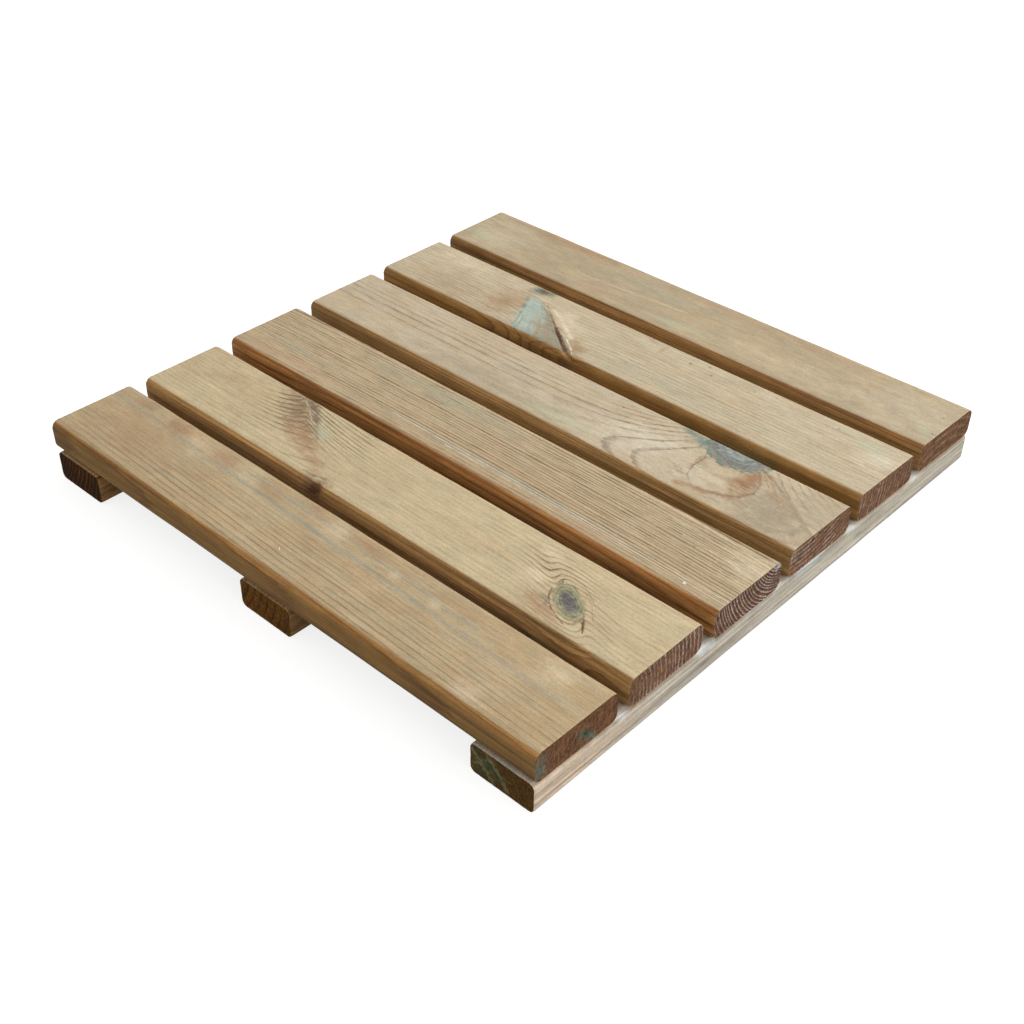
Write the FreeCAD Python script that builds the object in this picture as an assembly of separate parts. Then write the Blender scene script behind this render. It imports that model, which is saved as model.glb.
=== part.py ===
# Slatted timber deck tile: eased boards laid across three bearers and stapled to them from beneath.
# The origin is on the ground under the middle of the tile. X runs along the deck boards, Y runs
# across them from the front board to the back one, and Z is up. All sizes are millimetres.
import FreeCAD, Part
import math
import os

# Deck boards, laid side by side with an open gap between neighbours
BOARD_LENGTH = 500.0
BOARD_WIDTH = 75.0
BOARD_THICKNESS = 25.0
BOARD_EDGE_RADIUS = 5.8
BOARD_GAP = 11.0

# Front board to back board: how much it was sawn short, and how far it drifted from its even place.
# The right ends were pushed against one stop, so the differences in length show at the left.
BOARD_CUTS = (
    (3.0, 0.0),
    (3.5, -0.8),
    (2.0, -0.3),
    (2.5, -0.3),
    (1.5, 0.2),
    (0.0, 0.0),
)

# Bearers, running across under the boards from the front board's side to the back board's side
BEARER_NAMES = ("bearer_left", "bearer_middle", "bearer_right")
BEARER_WIDTH = 53.0
BEARER_THICKNESS = 25.0
BEARER_EDGE_RADIUS = 4.2
LEFT_BEARER_INSET = 5.4
RIGHT_BEARER_INSET = 0.0
MIDDLE_BEARER_DRIFT = -1.2
BEARER_FRONT_SETBACKS = (0.0, 0.9, 0.0)
BEARER_TURN = 90.0

# Wire staples, driven upwards through each crossing until the crown lies just under the surface
STAPLE_CROWN = 11.0
STAPLE_WIRE_THICKNESS = 1.4
STAPLE_WIRE_WIDTH = 1.6
STAPLE_BEND = 0.6
STAPLE_POINT_LENGTH = 3.0
STAPLE_SINK = 0.5
STAPLE_TOP_COVER = 9.5
STAPLE_TURN = 30.0
STAPLE_BEARER_MARGIN = 14.0
STAPLE_BOARD_MARGIN = 18.0
STAPLE_CLEARANCE = 0.05

# How far a cutting solid runs past the face that it opens
CUT_OVERRUN = 1.0

# A rounded edge takes at most this share of the bar's thinner side, and turns this far in degrees
EDGE_RADIUS_LIMIT = 0.45
EDGE_TURN = 90.0

DECK_DEPTH = len(BOARD_CUTS) * BOARD_WIDTH + (len(BOARD_CUTS) - 1) * BOARD_GAP
RIGHT_STOP = BOARD_LENGTH / 2
TILE_HEIGHT = BEARER_THICKNESS + BOARD_THICKNESS


def spoke(radius, degrees):
    """A vector of the given length in the YZ plane, turned from +Y towards +Z."""
    turn = math.radians(degrees)
    return FreeCAD.Vector(0, radius * math.cos(turn), radius * math.sin(turn))


def eased_section(width, thickness, edge_radius):
    """The outline of an eased bar in the YZ plane, from (0, 0) to (width, thickness)."""
    radius = min(edge_radius, EDGE_RADIUS_LIMIT * min(width, thickness))
    corners = (
        (width - radius, radius),
        (width - radius, thickness - radius),
        (radius, thickness - radius),
        (radius, radius),
    )
    arcs = []
    for number, (across, up) in enumerate(corners):
        centre = FreeCAD.Vector(0, across, up)
        start = (number - 1) * EDGE_TURN
        arcs.append([centre + spoke(radius, start + share * EDGE_TURN) for share in (0, 0.5, 1)])
    edges = []
    for (first, middle, last), following in zip(arcs, arcs[1:] + arcs[:1]):
        edges.append(Part.Arc(first, middle, last).toShape())
        edges.append(Part.makeLine(last, following[0]))
    return Part.Wire(edges)


def eased_bar(length, width, thickness, edge_radius):
    """A bar along +X from the origin, sawn square at its ends and rounded along its four long edges."""
    section = Part.Face(eased_section(width, thickness, edge_radius))
    return section.extrude(FreeCAD.Vector(length, 0, 0))


def board_front(index):
    """Y of the front side of a board, counted from the front one."""
    drift = BOARD_CUTS[index][1]
    return -DECK_DEPTH / 2 + index * (BOARD_WIDTH + BOARD_GAP) + drift


def board_centre(index):
    """Y of a board's middle line."""
    return board_front(index) + BOARD_WIDTH / 2


def bearer_centres():
    """X of the bearers' middle lines: the outer two inset from the ends, the third about midway."""
    left = -RIGHT_STOP + LEFT_BEARER_INSET + BEARER_WIDTH / 2
    right = RIGHT_STOP - RIGHT_BEARER_INSET - BEARER_WIDTH / 2
    middle = (left + right) / 2 + MIDDLE_BEARER_DRIFT
    return (left, middle, right)


def staple_places(board_index, bearer_centre):
    """The two places where staples join one board to one bearer, on a diagonal of their crossing."""
    along = BEARER_WIDTH / 2 - STAPLE_BEARER_MARGIN
    across = BOARD_WIDTH / 2 - STAPLE_BOARD_MARGIN
    middle = board_centre(board_index)
    return [
        FreeCAD.Vector(bearer_centre - along, middle - across, 0),
        FreeCAD.Vector(bearer_centre + along, middle + across, 0),
    ]


def standing_staple(mouth, clearance):
    """A staple standing points up on the Z axis, made larger all round by the clearance.

    Its crown starts at the height of mouth: the crown's own face for a staple, and below the
    bearer for the slot that a staple leaves in the wood.
    """
    outer = STAPLE_CROWN / 2 + clearance
    inner = STAPLE_CROWN / 2 - STAPLE_WIRE_THICKNESS - clearance
    crown_top = STAPLE_SINK + STAPLE_WIRE_THICKNESS + clearance
    bevel_slope = STAPLE_POINT_LENGTH / STAPLE_WIRE_THICKNESS
    point = TILE_HEIGHT - STAPLE_TOP_COVER
    tip = point + clearance * (1 + bevel_slope)
    shoulder = point - STAPLE_POINT_LENGTH + clearance * (1 - bevel_slope)
    right_half = (
        (outer - STAPLE_BEND, mouth),
        (outer, mouth + STAPLE_BEND),
        (outer, tip),
        (inner, shoulder),
        (inner, crown_top),
    )
    left_half = [(-across, up) for across, up in reversed(right_half)]
    outline = list(right_half) + left_half + [right_half[0]]
    width = STAPLE_WIRE_WIDTH + 2 * clearance
    wire = Part.makePolygon([FreeCAD.Vector(across, -width / 2, up) for across, up in outline])
    staple = Part.Face(wire).extrude(FreeCAD.Vector(0, width, 0))
    staple.rotate(FreeCAD.Vector(0, 0, 0), FreeCAD.Vector(0, 0, 1), STAPLE_TURN)
    return staple


def staple_slots(places):
    """The spaces that staples at these places take up in the wood."""
    mouth = -CUT_OVERRUN - STAPLE_BEND
    slot = standing_staple(mouth, STAPLE_CLEARANCE)
    return [slot.translated(place) for place in places]


def deck_board(index):
    """A deck board on top of the bearers, with the points of its staples let in from underneath."""
    length = BOARD_LENGTH - BOARD_CUTS[index][0]
    bar = eased_bar(length, BOARD_WIDTH, BOARD_THICKNESS, BOARD_EDGE_RADIUS)
    board = bar.translated(FreeCAD.Vector(RIGHT_STOP - length, board_front(index), BEARER_THICKNESS))
    places = []
    for centre in bearer_centres():
        places += staple_places(index, centre)
    return board.cut(staple_slots(places))


def bearer(centre, front_setback):
    """A bearer flat on the ground under all the boards, with a slot through it for each staple."""
    bar = eased_bar(DECK_DEPTH - front_setback, BEARER_WIDTH, BEARER_THICKNESS, BEARER_EDGE_RADIUS)
    bar.rotate(FreeCAD.Vector(0, 0, 0), FreeCAD.Vector(0, 0, 1), BEARER_TURN)
    front = -DECK_DEPTH / 2 + front_setback
    bar.translate(FreeCAD.Vector(centre + BEARER_WIDTH / 2, front, 0))
    places = []
    for index in range(len(BOARD_CUTS)):
        places += staple_places(index, centre)
    return bar.cut(staple_slots(places))


def underside_staples():
    """All the staples, one separate solid each."""
    pattern = standing_staple(STAPLE_SINK, 0.0)
    staples = []
    for centre in bearer_centres():
        for index in range(len(BOARD_CUTS)):
            staples += [pattern.translated(place) for place in staple_places(index, centre)]
    return Part.makeCompound(staples)


def main():
    """Write one STEP file for each board and bearer, and one for the staples."""
    os.makedirs("parts", exist_ok=True)
    for index in range(len(BOARD_CUTS)):
        deck_board(index).exportStep(f"parts/deck_board_{index + 1}.step")
    for name, centre, setback in zip(BEARER_NAMES, bearer_centres(), BEARER_FRONT_SETBACKS):
        bearer(centre, setback).exportStep(f"parts/{name}.step")
    underside_staples().exportStep("parts/underside_staples.step")


main()
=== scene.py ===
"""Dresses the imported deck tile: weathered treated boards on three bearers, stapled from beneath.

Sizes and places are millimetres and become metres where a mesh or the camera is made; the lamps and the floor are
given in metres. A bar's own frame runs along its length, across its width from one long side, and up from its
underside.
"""

import itertools
import logging
import math
from dataclasses import dataclass, field
from enum import Enum

import bpy
import numpy as np
from mathutils import Matrix, Vector
from mathutils.geometry import delaunay_2d_cdt


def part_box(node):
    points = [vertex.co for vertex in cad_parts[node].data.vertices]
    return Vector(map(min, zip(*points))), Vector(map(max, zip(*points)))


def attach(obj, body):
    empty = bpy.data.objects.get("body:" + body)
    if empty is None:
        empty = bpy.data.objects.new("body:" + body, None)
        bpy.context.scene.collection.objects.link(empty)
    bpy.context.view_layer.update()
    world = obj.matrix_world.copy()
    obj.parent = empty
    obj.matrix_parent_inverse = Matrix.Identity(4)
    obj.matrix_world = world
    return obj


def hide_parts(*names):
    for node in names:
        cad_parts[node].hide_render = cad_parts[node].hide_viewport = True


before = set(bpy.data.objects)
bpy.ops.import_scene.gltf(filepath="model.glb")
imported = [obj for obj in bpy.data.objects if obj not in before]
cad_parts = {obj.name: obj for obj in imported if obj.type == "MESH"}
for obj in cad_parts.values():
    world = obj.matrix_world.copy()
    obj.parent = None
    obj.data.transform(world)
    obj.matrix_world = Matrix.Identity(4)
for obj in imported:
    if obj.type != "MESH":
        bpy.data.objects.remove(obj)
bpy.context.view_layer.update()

MM = 0.001
BODY = "root"
BEARERS = ("bearer_left", "bearer_middle", "bearer_right")
BOARD_COUNT = 6

Colour = tuple[float, float, float, float]
Point = tuple[float, float]
Socket = bpy.types.NodeSocket

log = logging.getLogger("deck_tile")


def smooth(low: float, high: float, value: np.ndarray) -> np.ndarray:
    """A smooth step from 0 at low to 1 at high."""
    share = np.clip((value - low) / (high - low), 0.0, 1.0)
    return share * share * (3.0 - 2.0 * share)


class Grit:
    """Smooth seeded noise from -1 to 1, drawn between random values on a lattice."""

    CELLS = 48

    def __init__(self, seed: int) -> None:
        """Fills the lattice.

        Args:
            seed: Gives the same noise at every run.
        """
        self.values = np.random.default_rng(seed).uniform(-1.0, 1.0, (self.CELLS,) * 3)

    def at(self, places: np.ndarray, sizes: Point | tuple[float, float, float]) -> np.ndarray:
        """Reads the noise.

        Args:
            places: Points as rows of three millimetre values.
            sizes: How large the noise's lumps are along, across and up.

        Returns:
            One value for each point.
        """
        cells = places / np.array(sizes)
        base = np.floor(cells).astype(int)
        share = cells - base
        share = share * share * (3.0 - 2.0 * share)
        total = np.zeros(len(places))
        for corner in itertools.product((0, 1), repeat=3):
            weight = np.prod(np.where(np.array(corner), share, 1.0 - share), axis=1)
            along, across, up = ((base + corner) % self.CELLS).T
            total += weight * self.values[along, across, up]
        return total


class Tone(Enum):
    """The colours of stains, knots and resin, and of a few painted highlights, as linear red, green and blue."""

    MINT = (0.45, 0.49, 0.33)
    TEAL = (0.125, 0.195, 0.16)
    SLATE = (0.17, 0.18, 0.165)
    SAGE = (0.33, 0.335, 0.24)
    OLIVE = (0.25, 0.22, 0.12)
    HAZE = (0.24, 0.29, 0.275)
    FROST = (0.365, 0.42, 0.355)
    DUST = (0.28, 0.25, 0.18)
    MOSS = (0.115, 0.118, 0.044)
    PITCH = (0.03, 0.014, 0.006)
    BARK = (0.16, 0.085, 0.045)
    DUSK = (0.17, 0.125, 0.085)
    LOAM = (0.20, 0.122, 0.062)
    BLUSH = (0.368, 0.234, 0.132)
    ASH = (0.335, 0.295, 0.215)
    DRAB = (0.312, 0.262, 0.181)
    LICHEN = (0.30, 0.285, 0.17)
    FERN = (0.055, 0.088, 0.048)
    INK = (0.06, 0.055, 0.06)
    VIOLET = (0.085, 0.088, 0.095)
    LEAF = (0.10, 0.22, 0.06)
    UMBER = (0.09, 0.045, 0.018)
    RESIN = (0.30, 0.158, 0.075)
    ROSE = (0.45, 0.30, 0.19)
    TAN = (0.36, 0.235, 0.135)
    CREAM = (0.68, 0.57, 0.40)
    CHALK = (0.70, 0.66, 0.54)
    SALT = (0.72, 0.80, 0.82)
    PEACH = (0.74, 0.58, 0.43)

    def rgba(self) -> Colour:
        """The colour as a socket takes it."""
        return (*self.value, 1.0)


class Part(Enum):
    """The two kinds of cut surface on a bar, in the order of its material slots."""

    FACE = 0
    END = 1


@dataclass(frozen=True)
class Spot:
    """A soft oval stain, or in a few places a painted highlight, that goes through the wood from the face it is seen
    on.
    """

    tone: Tone
    along: float
    across: float
    half_length: float
    half_width: float
    turn: float = 0.0
    strength: float = 0.6
    softness: float = 0.7
    up: float = 25.0
    half_depth: float = 14.0


@dataclass(frozen=True)
class Stroke:
    """A narrow streak between two points of the face: a crack, a resin line, a pale trace or a painted highlight."""

    tone: Tone
    start: Point
    end: Point
    half_width: float
    strength: float = 0.6
    softness: float = 0.6
    start_width: float = 0.3


def trail(tone: Tone, points: tuple[Point, ...], half_width: float, strength: float) -> list[Stroke]:
    """Soft strokes that follow each other through the points.

    Args:
        tone: The colour of the trail.
        points: The places along and across that it passes.
        half_width: Half of how wide it is.
        strength: How fully it covers the wood.

    Returns:
        One stroke for each stretch between two points.
    """
    pairs = itertools.pairwise(points)
    return [Stroke(tone, start, end, half_width, strength, 0.95, half_width) for start, end in pairs]


@dataclass(frozen=True)
class SpikeKnot:
    """A branch cut lengthwise, which the face shows as a blunt wedge with its fibres fanned out."""

    apex: Point
    left_foot: Point
    right_foot: Point
    head: float = 0.2
    left_tone: Tone = Tone.FROST
    right_tone: Tone = Tone.DUST
    strength: float = 0.95


@dataclass(frozen=True)
class Knot:
    """A branch that the face cuts across, with the grain pushed aside round it."""

    along: float
    across: float
    half_length: float
    half_width: float
    turn: float
    push: float
    reach: float
    core: Tone = Tone.VIOLET
    flesh: Tone = Tone.SLATE
    rim: Tone = Tone.UMBER
    strength: float = 0.9
    accent: float = 0.7

    def distance(self, along: np.ndarray, across: np.ndarray) -> tuple[np.ndarray, np.ndarray]:
        """How far points lie from the knot.

        Returns:
            The distance in knot radii, and the signed distance across the knot's own long axis.
        """
        turn = math.radians(self.turn)
        reach_along = along - self.along
        reach_across = across - self.across
        long_way = reach_along * math.cos(turn) + reach_across * math.sin(turn)
        short_way = -reach_along * math.sin(turn) + reach_across * math.cos(turn)
        return np.hypot(long_way / self.half_length, short_way / self.half_width), short_way

    def bend(self, along: np.ndarray, across: np.ndarray) -> np.ndarray:
        """How far the grain is moved across the bar at each point."""
        distance, side = self.distance(along, across)
        fade = np.exp(-((np.maximum(distance - 1.0, 0.0) / self.reach) ** 2))
        return self.push * np.tanh(2.0 * side / self.half_width) * fade


@dataclass(frozen=True)
class BranchTrace:
    """A branch that runs just under the face, with the grain swept up to it from both sides."""

    start: Point
    end: Point
    lift: float
    left_spread: float
    right_spread: float

    def bend(self, along: np.ndarray, across: np.ndarray) -> np.ndarray:
        """How far the grain is moved across the bar at each point."""
        start, end = np.array(self.start), np.array(self.end)
        share = (across - start[1]) / (end[1] - start[1])
        beside = along - (start[0] + share * (end[0] - start[0]))
        spread = np.where(beside < 0.0, self.left_spread, self.right_spread)
        window = smooth(1.35, 0.6, share)
        return self.lift * np.exp(-np.abs(beside) / spread) * window


@dataclass(frozen=True)
class Swell:
    """A hill or a dip in the year rings, which the face cuts as loops round a branch."""

    along: float
    across: float
    half_length: float
    half_width: float
    height: float
    roundness: float = 2.0

    def rise(self, along: np.ndarray, across: np.ndarray) -> np.ndarray:
        """How much the rings are raised at each point."""
        long_way = (along - self.along) / self.half_length
        short_way = (across - self.across) / self.half_width
        return self.height * np.exp(-(np.hypot(long_way, short_way) ** self.roundness))


@dataclass(frozen=True)
class Hollow:
    """A torn place where wood has come away beside a knot, deepest along its middle line."""

    start: Point
    end: Point
    start_width: float
    end_width: float
    depth: float

    def sink(self, along: np.ndarray, across: np.ndarray) -> np.ndarray:
        """How deep the hollow is at each point."""
        start, end = np.array(self.start), np.array(self.end)
        run = end - start
        length = float(np.hypot(*run))
        ahead = ((along - start[0]) * run[0] + (across - start[1]) * run[1]) / length**2
        beside = ((along - start[0]) * run[1] - (across - start[1]) * run[0]) / length
        width = self.start_width + (self.end_width - self.start_width) * np.clip(ahead, 0.0, 1.0)
        window = smooth(-0.05, 0.1, ahead) * smooth(1.08, 0.95, ahead)
        return self.depth * window * smooth(1.0, 0.35, np.abs(beside) / width)


@dataclass(frozen=True)
class Accent:
    """A zone of the face where the year rings show more strongly."""

    along: float
    across: float
    half_length: float
    half_width: float
    strength: float

    def share(self, along: np.ndarray, across: np.ndarray) -> np.ndarray:
        """How strongly the zone acts at each point."""
        long_way = (along - self.along) / self.half_length
        short_way = (across - self.across) / self.half_width
        return self.strength * np.exp(-((long_way**2 + short_way**2) ** 2))


@dataclass(frozen=True)
class Figure:
    """Where the tree's middle lay beside a bar, and how its year rings run through it."""

    pith_across: float
    pith_up: float
    spacing: float
    seed: int
    drift: float = 0.0
    bow: float = 0.0
    uneven: float = 0.35
    wander: float = 0.5
    knots: tuple[Knot, ...] = ()
    traces: tuple[BranchTrace, ...] = ()
    swells: tuple[Swell, ...] = ()
    hollows: tuple[Hollow, ...] = ()
    accents: tuple[Accent, ...] = ()

    RING_COUNT = 120
    BOW_LENGTH = 250.0

    def ring_number(self, places: np.ndarray) -> np.ndarray:
        """Counts the year rings from the tree's middle out to each point.

        Args:
            places: Points in the bar's own frame, as rows of along, across and up.

        Returns:
            The number of rings, whose whole values are the dark late edges.
        """
        along, across, up = places.T
        grit = Grit(self.seed)
        moved = across + self.wander * grit.at(places, (90.0, 22.0, 22.0))
        moved += 0.35 * self.wander * grit.at(places + 500.0, (22.0, 7.0, 7.0))
        for feature in (*self.knots, *self.traces):
            moved -= feature.bend(along, across)
        pith = self.pith_across + self.drift * along + self.bow * (along / self.BOW_LENGTH) ** 2
        radius = np.hypot(moved - pith, up - self.pith_up)
        for swell in self.swells:
            radius -= swell.rise(along, across)
        rng = np.random.default_rng(self.seed)
        widths = self.spacing * (1.0 + self.uneven * rng.uniform(-1.0, 1.0, self.RING_COUNT))
        edges = np.concatenate(([0.0], np.cumsum(widths)))
        numbers = np.arange(len(edges), dtype=float)
        inside = radius / self.spacing
        return np.where(radius > 0.0, np.interp(radius, edges, numbers), inside)

    def accent(self, places: np.ndarray) -> np.ndarray:
        """How strongly the rings show at each point, on top of the finish's own strength."""
        along, across = places[:, 0], places[:, 1]
        total = np.zeros(len(places))
        for zone in self.accents:
            total += zone.share(along, across)
        for knot in self.knots:
            beyond = np.maximum(knot.distance(along, across)[0] - 1.0, 0.0)
            total += knot.accent * np.exp(-((beyond / knot.reach) ** 2))
        return np.clip(total, 0.0, 1.0)

    def latewood(self, rings: np.ndarray) -> np.ndarray:
        """How hard and proud the wood is at each ring number, from 0 to 1."""
        share = rings - np.floor(rings)
        return smooth(0.45, 0.9, share) * smooth(1.0, 0.92, share)


class Wiring:
    """Places and joins the nodes of one tree."""

    def __init__(self, tree: bpy.types.NodeTree) -> None:
        """Takes the tree whose nodes are made here."""
        self.tree = tree

    def add(self, kind: str, feeds: dict | None = None, **settings: object) -> bpy.types.Node:
        """Makes one node.

        Args:
            kind: The node's type name.
            feeds: A value or another node's output for each input that is set.
            settings: The node's own properties.

        Returns:
            The node.
        """
        node = self.tree.nodes.new(kind)
        for name, value in settings.items():
            setattr(node, name, value)
        for name, value in (feeds or {}).items():
            if isinstance(value, Socket):
                self.tree.links.new(value, node.inputs[name])
            else:
                node.inputs[name].default_value = value
        return node

    def math(self, operation: str, *values: Socket | float, clamp: bool = False) -> Socket:
        """The result of one sum."""
        feeds = dict(enumerate(values))
        return self.add("ShaderNodeMath", feeds, operation=operation, use_clamp=clamp).outputs[0]

    def vector(self, operation: str, *values: Socket | tuple) -> Socket:
        """The vector result of one vector sum."""
        feeds = dict(enumerate(values))
        return self.add("ShaderNodeVectorMath", feeds, operation=operation).outputs[0]

    def step(self, value: Socket, low: float | Socket, high: float | Socket) -> Socket:
        """A smooth step from 0 at low to 1 at high."""
        feeds = {0: value, 1: low, 2: high, 3: 0.0, 4: 1.0}
        settings = {"interpolation_type": "SMOOTHSTEP"}
        return self.add("ShaderNodeMapRange", feeds, **settings).outputs[0]

    def between(self, value: Socket, low: float, high: float) -> Socket:
        """A value from 0 to 1 stretched to run from low to high."""
        feeds = {0: value, 1: 0.0, 2: 1.0, 3: low, 4: high}
        return self.add("ShaderNodeMapRange", feeds, clamp=False).outputs[0]

    def tint(
        self, share: Socket | float, ground: Socket | Colour, coat: Socket | Colour, blend: str = "MIX"
    ) -> Socket:
        """A ground colour with a share of another laid on it."""
        feeds = {0: share, 6: ground, 7: coat}
        return self.add("ShaderNodeMix", feeds, data_type="RGBA", blend_type=blend).outputs[2]

    def noise(self, place: Socket, sizes: tuple, detail: float = 3.0, rough: float = 0.55) -> Socket:
        """Noise with lumps of the given sizes in millimetres along, across and up."""
        scaled = self.vector("DIVIDE", place, sizes)
        feeds = {"Vector": scaled, "Scale": 1.0, "Detail": detail, "Roughness": rough}
        return self.add("ShaderNodeTexNoise", feeds).outputs["Fac"]

    def group(self, tree: bpy.types.NodeTree, feeds: dict) -> bpy.types.Node:
        """One use of a shared node group."""
        return self.add("ShaderNodeGroup", feeds, node_tree=tree)


@dataclass
class SharedGroup:
    """A node group with named inputs and outputs, built once."""

    name: str
    inputs: tuple[tuple[str, str], ...]
    outputs: tuple[tuple[str, str], ...]
    kind: str = "ShaderNodeTree"
    tree: bpy.types.NodeTree = field(init=False)
    wiring: Wiring = field(init=False)
    given: bpy.types.Node = field(init=False)
    result: bpy.types.Node = field(init=False)

    def __post_init__(self) -> None:
        """Makes the empty tree with its sockets."""
        self.tree = bpy.data.node_groups.new(self.name, self.kind)
        for in_out, sockets in (("INPUT", self.inputs), ("OUTPUT", self.outputs)):
            for name, kind in sockets:
                self.tree.interface.new_socket(name=name, in_out=in_out, socket_type=kind)
        self.wiring = Wiring(self.tree)
        self.given = self.wiring.add("NodeGroupInput")
        self.result = self.wiring.add("NodeGroupOutput")

    def give(self, name: str) -> Socket:
        """The value that comes in under a name."""
        return self.given.outputs[name]

    def put(self, name: str, value: Socket) -> None:
        """Sends a value out under a name."""
        self.tree.links.new(value, self.result.inputs[name])


FLOAT = "NodeSocketFloat"
VECTOR = "NodeSocketVector"
GEOMETRY = "NodeSocketGeometry"
MATERIAL = "NodeSocketMaterial"


class WoodEffects:
    """The node groups that every timber finish shares."""

    def __init__(self) -> None:
        """Builds each group once."""
        self.rings = self.year_rings()
        self.fibres = self.wood_fibres()
        self.blotches = self.treatment_blotches()
        self.spot = self.oval_spot()
        self.stroke = self.drawn_stroke()
        self.knot = self.knot_wood()
        self.spike = self.spike_knot()
        self.saw = self.saw_marks()

    def year_rings(self) -> bpy.types.NodeTree:
        """Dark late edges that rise slowly and end sharply, each year with its own strength."""
        made = SharedGroup(
            "year_rings",
            (("Ring", FLOAT), ("Place", VECTOR), ("Early Share", FLOAT)),
            (("Late", FLOAT), ("Edge", FLOAT), ("Strong", FLOAT)),
        )
        wiring, place = made.wiring, made.give("Place")
        wobble = wiring.between(wiring.noise(place, (12.0, 2.2, 2.2), 4.0, 0.6), -0.2, 0.2)
        ring = wiring.math("ADD", made.give("Ring"), wobble)
        share = wiring.math("FRACT", ring)
        rise = wiring.step(share, made.give("Early Share"), 0.93)
        fall = wiring.math("SUBTRACT", 1.0, wiring.step(share, 0.93, 1.0))
        year = wiring.add(
            "ShaderNodeTexWhiteNoise", {"W": wiring.math("FLOOR", ring)}, noise_dimensions="1D"
        ).outputs["Value"]
        patch = wiring.noise(place, (28.0, 4.4, 4.4), 4.0, 0.6)
        edge = wiring.math("MULTIPLY", rise, fall)
        late = wiring.math("MULTIPLY", edge, wiring.between(year, 0.35, 1.35))
        made.put("Late", wiring.math("MULTIPLY", late, wiring.between(patch, -1.2, 2.8), clamp=True))
        made.put("Strong", wiring.math("MULTIPLY", edge, wiring.between(patch, -0.7, 2.6), clamp=True))
        made.put("Edge", edge)
        return made.tree

    def wood_fibres(self) -> bpy.types.NodeTree:
        """Light and dark in the wood's surface: long streaks, flecks, clouds, and short dark dashes."""
        made = SharedGroup(
            "wood_fibres", (("Place", VECTOR),), (("Streak", FLOAT), ("Light", FLOAT), ("Dash", FLOAT))
        )
        wiring, place = made.wiring, made.give("Place")
        streak = wiring.noise(place, (24.0, 0.9, 0.9), 3.0, 0.6)
        fleck = wiring.noise(place, (2.4, 0.8, 0.8), 3.0, 0.7)
        cloud = wiring.noise(place, (20.0, 7.0, 7.0), 5.0, 0.65)
        light = wiring.math("ADD", wiring.between(streak, -0.32, 0.32), wiring.between(fleck, -0.38, 0.38))
        light = wiring.math("ADD", light, wiring.between(cloud, 0.74, 1.26))
        made.put("Streak", streak)
        made.put("Light", light)
        dash = wiring.noise(place, (3.8, 0.6, 0.6), 2.0)
        made.put("Dash", wiring.step(dash, 0.6, 0.76))
        return made.tree

    def treatment_blotches(self) -> bpy.types.NodeTree:
        """Wide and narrow patches where the treatment took unevenly."""
        made = SharedGroup("treatment_blotches", (("Place", VECTOR),), (("Wide", FLOAT), ("Narrow", FLOAT)))
        wiring, place = made.wiring, made.give("Place")
        made.put("Wide", wiring.step(wiring.noise(place, (52.0, 20.0, 20.0), 3.0, 0.5), 0.4, 0.62))
        made.put("Narrow", wiring.step(wiring.noise(place, (34.0, 9.0, 9.0), 3.0, 0.5), 0.4, 0.64))
        return made.tree

    def oval_spot(self) -> bpy.types.NodeTree:
        """A ragged oval patch, full in the middle and faded at its edge."""
        made = SharedGroup(
            "oval_spot",
            (
                ("Place", VECTOR),
                ("Centre", VECTOR),
                ("Half Size", VECTOR),
                ("Turn", FLOAT),
                ("Softness", FLOAT),
                ("Ragged", FLOAT),
            ),
            (("Mask", FLOAT),),
        )
        wiring = made.wiring
        apart = wiring.vector("SUBTRACT", made.give("Place"), made.give("Centre"))
        back = wiring.math("MULTIPLY", made.give("Turn"), -1.0)
        feeds = {"Vector": apart, "Angle": back}
        own = wiring.add("ShaderNodeVectorRotate", feeds, rotation_type="Z_AXIS").outputs[0]
        scaled = wiring.vector("DIVIDE", own, made.give("Half Size"))
        length = wiring.add("ShaderNodeVectorMath", {0: scaled}, operation="LENGTH").outputs["Value"]
        length = wiring.math("ADD", length, made.give("Ragged"))
        inner = wiring.math("SUBTRACT", 1.0, made.give("Softness"))
        made.put("Mask", wiring.math("SUBTRACT", 1.0, wiring.step(length, inner, 1.0)))
        return made.tree

    def drawn_stroke(self) -> bpy.types.NodeTree:
        """A ragged tapered streak from one point to another."""
        made = SharedGroup(
            "drawn_stroke",
            (
                ("Place", VECTOR),
                ("Start", VECTOR),
                ("End", VECTOR),
                ("Start Width", FLOAT),
                ("End Width", FLOAT),
                ("Softness", FLOAT),
                ("Ragged", FLOAT),
            ),
            (("Mask", FLOAT),),
        )
        wiring = made.wiring
        flat = wiring.vector("MULTIPLY", made.give("Place"), (1.0, 1.0, 0.0))
        apart = wiring.vector("SUBTRACT", flat, made.give("Start"))
        run = wiring.vector("SUBTRACT", made.give("End"), made.give("Start"))
        dots = []
        for pair in ((apart, run), (run, run)):
            node = wiring.add("ShaderNodeVectorMath", dict(enumerate(pair)), operation="DOT_PRODUCT")
            dots.append(node.outputs["Value"])
        ahead = wiring.math("DIVIDE", dots[0], dots[1], clamp=True)
        nearest = wiring.add("ShaderNodeVectorMath", {0: run, "Scale": ahead}, operation="SCALE").outputs[0]
        beside = wiring.vector("SUBTRACT", apart, nearest)
        length = wiring.add("ShaderNodeVectorMath", {0: beside}, operation="LENGTH").outputs["Value"]
        feeds = {0: ahead, 1: 0.0, 2: 1.0, 3: made.give("Start Width"), 4: made.give("End Width")}
        width = wiring.add("ShaderNodeMapRange", feeds).outputs[0]
        share = wiring.math("ADD", wiring.math("DIVIDE", length, width), made.give("Ragged"))
        inner = wiring.math("SUBTRACT", 1.0, made.give("Softness"))
        made.put("Mask", wiring.math("SUBTRACT", 1.0, wiring.step(share, inner, 1.0)))
        return made.tree

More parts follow.
